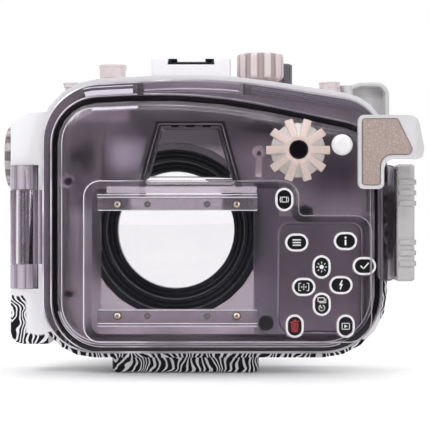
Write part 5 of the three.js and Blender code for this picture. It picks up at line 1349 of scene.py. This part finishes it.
def clear_rail(rail):
    """The rail as a clean angle section with small rounds."""
    low, high, _ = middle_of(rail)
    lip_up = rail.endswith("upper")
    plate = high.y - RAIL_BASE
    foot, tip = (low.z, high.z) if lip_up else (high.z, low.z)
    inner = tip - RAIL_LIP if lip_up else tip + RAIL_LIP
    middle = (plate + high.y) / 2
    corners = [(middle, foot), (plate, foot), (plate, inner), (low.y, inner), (low.y, tip),
               (high.y, tip), (high.y, foot), (middle, foot)]
    section = soften(corners, 0.35 * MM)[:-1]
    skin_piece(rail + "_clear", [[(x, y, z) for y, z in section] for x in (low.x, high.x)], "lid",
               "rail", "clear_plastic", stands_for=rail)


def rail_highlights(rail):
    """Painted highlights along the edges of the rail's lip and foot."""
    low, high, _ = middle_of(rail)
    lip_up = rail.endswith("upper")
    plate = high.y - RAIL_BASE
    lip_in, lip_out, foot = ((high.z - RAIL_LIP, high.z, low.z) if lip_up
                             else (low.z + RAIL_LIP, low.z, high.z))
    inward = -1 if lip_up else 1
    bm = bmesh.new()
    for z, side, y in ((lip_out, inward, low.y), (lip_in, -inward, low.y), (foot, -inward, plate)):
        ends = sorted((z + side * 0.08 * MM, z + side * RAIL_HIGHLIGHT_WIDE))
        add_plate(bm, rectangle(low.x + 0.3 * MM, ends[0], high.x - 0.3 * MM, ends[1]),
                  y - 0.03 * MM, y - SKIN / 2)
    new_piece(rail + "_edge_highlights", bm, "lid", "rail_highlight", "clear_plastic")


def rail_screw(rail, index, centre, plate):
    """A brass screw with a crossed slot."""
    head = soften([(0.5 * SCREW_HEAD, plate - SCREW_RISE), (SCREW_HEAD, plate - 0.5 * SCREW_RISE),
                   (SCREW_HEAD, plate - SKIN), (0.8 * SCREW_HEAD, plate - SKIN)], 0.2 * MM)
    rings = turned_rings("y", centre, head, SCREW_STEPS)
    skin_piece(f"{rail}_screw_{index}", rings, "lid", "brass", "brass")
    slots = []
    for turn in (0.5, 0.5 + math.pi / 2):
        along = Vector((math.cos(turn), math.sin(turn))) * SCREW_HEAD * 0.48
        ends = [tuple(Vector(centre) - along), tuple(Vector(centre) + along)]
        slots += stroke(ends, SCREW_SLOT)
    plate_piece(f"{rail}_slot_{index}", slots, plate - SCREW_RISE - 0.02 * MM,
                plate - SCREW_RISE * 0.9, "lid", "inlay", "black_plastic")


def rail_holes(rail):
    """The rail's four holes: a screw in each end one, the others empty."""
    low, high, middle = middle_of(rail)
    plate = high.y - RAIL_BASE
    inward = -1 if rail.endswith("upper") else 1
    z = middle.z + inward * RAIL_LIP / 2
    for index, share in enumerate(RAIL_HOLES, 1):
        centre = (low.x + share * (high.x - low.x), z)
        filled = index in (1, 4)
        if filled:
            rail_screw(rail, index, centre, plate)
        outer, inner = [size * SCREW_HEAD for size in (SEAT_FILLED if filled else SEAT_EMPTY)]
        rise = plate - SEAT_RISE
        seat = [(outer, plate - SKIN), (outer, rise), (inner, rise), (inner, plate - SKIN)]
        skin_piece(f"{rail}_seat_{index}", turned_rings("y", centre, seat, 28), "lid", "stem",
                   "black_plastic", loop=True)
        if not filled:
            plate_piece(f"{rail}_hole_{index}", [circle(centre, inner * 1.02)],
                        plate - 0.06 * MM, plate - SKIN, "lid", "hole", "black_plastic")


for rail_name in ("screen_rail_upper", "screen_rail_lower"):
    clear_rail(rail_name)
    rail_highlights(rail_name)
    rail_holes(rail_name)


# Lid: painted glints and sheen along its edges, painted shade and light on and behind it, the
# dashes on the raised window and what shows through the plastic


def flat(outer, inner, y, thick=STRIP_THICK):
    """The section of a thin flat band lying on the plane Y."""
    return [(outer, y), (outer, y - thick), (inner, y - thick), (inner, y)]


def off_the_caps(x, z):
    """False near the caps that are pressed past the panel's edge."""
    caps = [middle_of("button_" + name)[2] / MM for name in ("ok", "delete", "play")]
    return all(math.hypot(x - cap.x, z - cap.z) > CAP_CLEAR for cap in caps)


# Name, outline, sections of inset and Y in mm, finish, slot, and where the line runs
LID_LINES = (
    ("seal_lip", SEAL_OUTLINE,
     [[(-1.7, -25.1), (-1.7, -25.35), (-0.9, -25.35), (-0.9, -25.1)]], "rubber", "rubber", None),
    # Painted glints and painted sheen along the lid's edges
    ("lid_rim_glint", LID_OUTLINE,
     [[(0.02, -29.0), (0.26, -30.1), (0.9, -30.33), (0.9, -30.25), (0.4, -29.95), (0.25, -29.0)]],
     "glint", "smoke_lid", None),
    ("seal_glint", SEAL_OUTLINE, [flat(-2.5, -1.95, FLANGE_Y)], "glint", "smoke_lid", None),
    ("flange_ridges", LID_OUTLINE,
     [flat(inset, inset + 0.2, FLANGE_Y, 0.06) for inset in (1.7, 2.5, 3.3, 4.2)],
     "ridge", "smoke_lid", lambda x, z: x > 28 and z > 98),
    ("strip_sheen", LID_OUTLINE, [flat(0.9, 1.2, FLANGE_Y), flat(4.1, 4.6, FLANGE_Y)],
     "sheen", "smoke_lid", lambda x, z: -18.4 < x < 25.4 and z > 110),
    ("flange_sheen", SEAL_OUTLINE, [flat(-4.8, -2.2, FLANGE_Y), flat(-6.4, -6.0, FLANGE_Y)],
     "sheen", "smoke_lid", lambda x, z: -47 < x < -21.5 and z > 110),
    ("roof_sheen", SEAL_OUTLINE, [[(3.7, -41.08), (3.7, -41.16), (4.7, -41.35), (4.7, -41.25)]],
     "sheen", "smoke_lid", lambda x, z: -42 < x < -20 and z > 100),
    ("roof_glint", SEAL_OUTLINE, [[(3.3, -41.02), (3.3, -41.1), (3.6, -41.15), (3.6, -41.08)]],
     "glint", "smoke_lid", None),
    ("roof_foot_glint", SEAL_OUTLINE,
     [[(2.15, -40.2), (2.15, -40.3), (2.5, -40.5), (2.5, -40.4)], flat(0.25, 0.7, FLANGE_Y)],
     "glint", "smoke_lid", lambda x, z: z < 30 and x < 70),
    ("pocket_glint", POCKET_OUTLINE, [flat(-0.35, 0.05, ROOF_Y)], "glint", "smoke_lid", None),
    ("panel_glint", PANEL_OUTLINE, [flat(-0.4, -0.12, POCKET_Y)], "glint", "smoke_lid",
     off_the_caps),
)


def in_mm(*points):
    return [(x * MM, z * MM) for x, z in points]


# Name, outlines in X and Z, near and far Y, all in mm, finish and slot
LID_PLATES = (
    # Painted shade at the ends of the opening strip
    ("strip_end_shade", [rectangle(-21.2, 123.9, -18.4, 128.9), rectangle(25.6, 123.9, 26.6, 128.9)],
     FLANGE_Y - 0.05, FLANGE_Y - 0.01, "notch_shade", "smoke_lid"),
    ("window_dashes", [rectangle(middle - width / 2, 108.9, middle + width / 2, 109.8)
                       for middle, width in ((-4.2, 3.2), (2.5, 3.8), (9.6, 3.6))],
     LID_FRONT_Y - 0.05, LID_FRONT_Y - 0.02, "inlay", "smoke_lid"),
    # Painted highlight on the pocket's upper slope
    ("pocket_slope_highlight", [rectangle(-34.5, 80.4, 31.5, 83.7)], -36.2, -34.95, "slope_highlight",
     "clear_plastic"),
    ("lock_arm_screw", [circle((32.5, 97.8), 1.0, 16)], -37.85, -37.65, "stem", "black_plastic"),
    # Painted light: a pale patch behind the roof
    ("painted_light_patch", [[(-36.5, 86.5), (-21.5, 86.5), (-16.0, 105.5), (-30.0, 108.5),
                       (-36.5, 102.0)]], -35.0, -34.6, "pale_patch", "beige_plastic"),
)


def lid_lines():
    for name, corners, sections, finish, slot, keep in LID_LINES:
        bm = bmesh.new()
        for section in sections:
            add_strip(bm, corners, section, keep)
        new_piece(name, bm, "lid", finish, slot, 30)


def lid_plates():
    for name, outlines, near, far, finish, slot in LID_PLATES:
        plate_piece(name, [in_mm(*outline) for outline in outlines], near * MM, far * MM, "lid",
                    finish, slot)


def lock_arm():
    """The pale arm beside the dial, seen through the lid."""
    near, far = -37.6 * MM, -36.6 * MM
    bm = bmesh.new()
    add_plate(bm, in_mm(*rectangle(31.0, 87.5, 33.6, 97.0)), near, far)
    add_plate(bm, in_mm(*circle((32.3, 98.4), 2.9)), near - 0.1 * MM, far)
    new_piece("lock_arm", bm, "lid", "knob", "beige_plastic")


lid_lines()
lid_plates()
lock_arm()


# Floor, backdrop, lamps and camera


def seen_rays(shader):
    """1 for the camera's rays and for what gloss and glass show of the surroundings."""
    path = shader.add("ShaderNodeLightPath").outputs
    seen = shader.math("MAXIMUM", path["Is Camera Ray"], path["Is Glossy Ray"])
    return shader.math("MAXIMUM", seen, path["Is Transmission Ray"])


def mirror_rays(shader):
    """1 once gloss has mirrored the ray, and 0 where it only went through clear plastic."""
    path = shader.add("ShaderNodeLightPath").outputs
    return shader.math("MINIMUM", path["Glossy Depth"], 1.0)


def stage_floor():
    """A pale floor that keeps the shadow near the object and fades into the white backdrop."""
    material, shader, surface, _ = new_material("pale floor")
    at = shader.split(shader.place())
    reach = shader.reach(at["X"], at["Y"])
    far = shader.ramp(reach, 0.01, 0.16)
    glow = shader.times(far, seen_rays(shader))
    dim = shader.ramp(at["Y"], -0.5, 0.0, 1.0 - BEHIND_CAMERA, 0.0)
    glow_power = shader.times(glow, shader.math(
        "SUBTRACT", 1.0, shader.times(mirror_rays(shader), dim)))
    shader.set(surface.inputs["Base Color"], shader.blend(glow, FLOOR_PALE, BLACK))
    surface.inputs["Roughness"].default_value = 0.7
    surface.inputs["Specular IOR Level"].default_value = 0.1
    shader.set(surface.inputs["Emission Color"], WHITE)
    shader.set(surface.inputs["Emission Strength"], glow_power)
    mesh = bpy.data.meshes.new("floor")
    mesh.from_pydata([(x, y, 0.0) for x, y in rectangle(*FLOOR_REACH)], [], [(0, 1, 2, 3)])
    mesh.materials.append(material)
    floor = bpy.data.objects.new("floor", mesh)
    bpy.context.scene.collection.objects.link(floor)


def stage_world():
    """Soft grey light all round a white backdrop; gloss sees the dim side behind the camera."""
    world = bpy.data.worlds.new("studio")
    bpy.context.scene.world = world
    world.use_nodes = True
    shader = Shader(world.node_tree)
    world.node_tree.nodes.clear()
    output = shader.add("ShaderNodeOutputWorld")
    direction = shader.split(shader.add("ShaderNodeTexCoord").outputs["Generated"])
    dim = shader.ramp(direction["Y"], -0.97, -0.45, BEHIND_CAMERA, 1.0)
    strength = shader.blend(mirror_rays(shader), WHITE, dim)
    light = shader.add("ShaderNodeBackground", {"Color": WORLD_LIGHT, "Strength": WORLD_POWER})
    white = shader.add("ShaderNodeBackground", {"Color": strength, "Strength": 1.0})
    mix = shader.add("ShaderNodeMixShader")
    shader.set(mix.inputs[0], seen_rays(shader))
    shader.set(mix.inputs[1], light.outputs["Background"])
    shader.set(mix.inputs[2], white.outputs["Background"])
    shader.set(output.inputs["Surface"], mix.outputs["Shader"])


def lamp(name, place, size, power):
    middle = (cad_low + cad_high) / 2
    data = bpy.data.lights.new(name, "AREA")
    data.shape = "RECTANGLE"
    data.size, data.size_y = size
    data.energy = power * LAMP_POWER
    stand = bpy.data.objects.new(name, data)
    stand.location = place
    stand.rotation_mode = "QUATERNION"
    stand.rotation_quaternion = (middle - Vector(place)).to_track_quat("-Z", "Y")
    bpy.context.scene.collection.objects.link(stand)


def stage_camera():
    data = bpy.data.cameras.new("camera")
    data.sensor_width = SENSOR
    data.lens = VIEW_LENS
    data.clip_start = 0.05
    data.clip_end = 20.0
    camera = bpy.data.objects.new("camera", data)
    camera.location = (VIEW_X, VIEW_Y, VIEW_Z)
    camera.rotation_euler = (math.radians(90), 0, 0)
    bpy.context.scene.collection.objects.link(camera)
    bpy.context.scene.camera = camera


stage_floor()
stage_world()
lamp("key", (-0.55, -0.75, 0.75), (0.3, 0.3), 9.0)
lamp("fill", (0.7, -0.7, 0.35), (0.25, 0.6), 5.0)
lamp("top", (0.0, 0.1, 1.0), (0.9, 0.2), 8.0)
lamp("back", (0.1, 0.9, 0.45), (0.9, 0.6), 3.0)
stage_camera()
bpy.context.scene.view_settings.view_transform = "Standard"
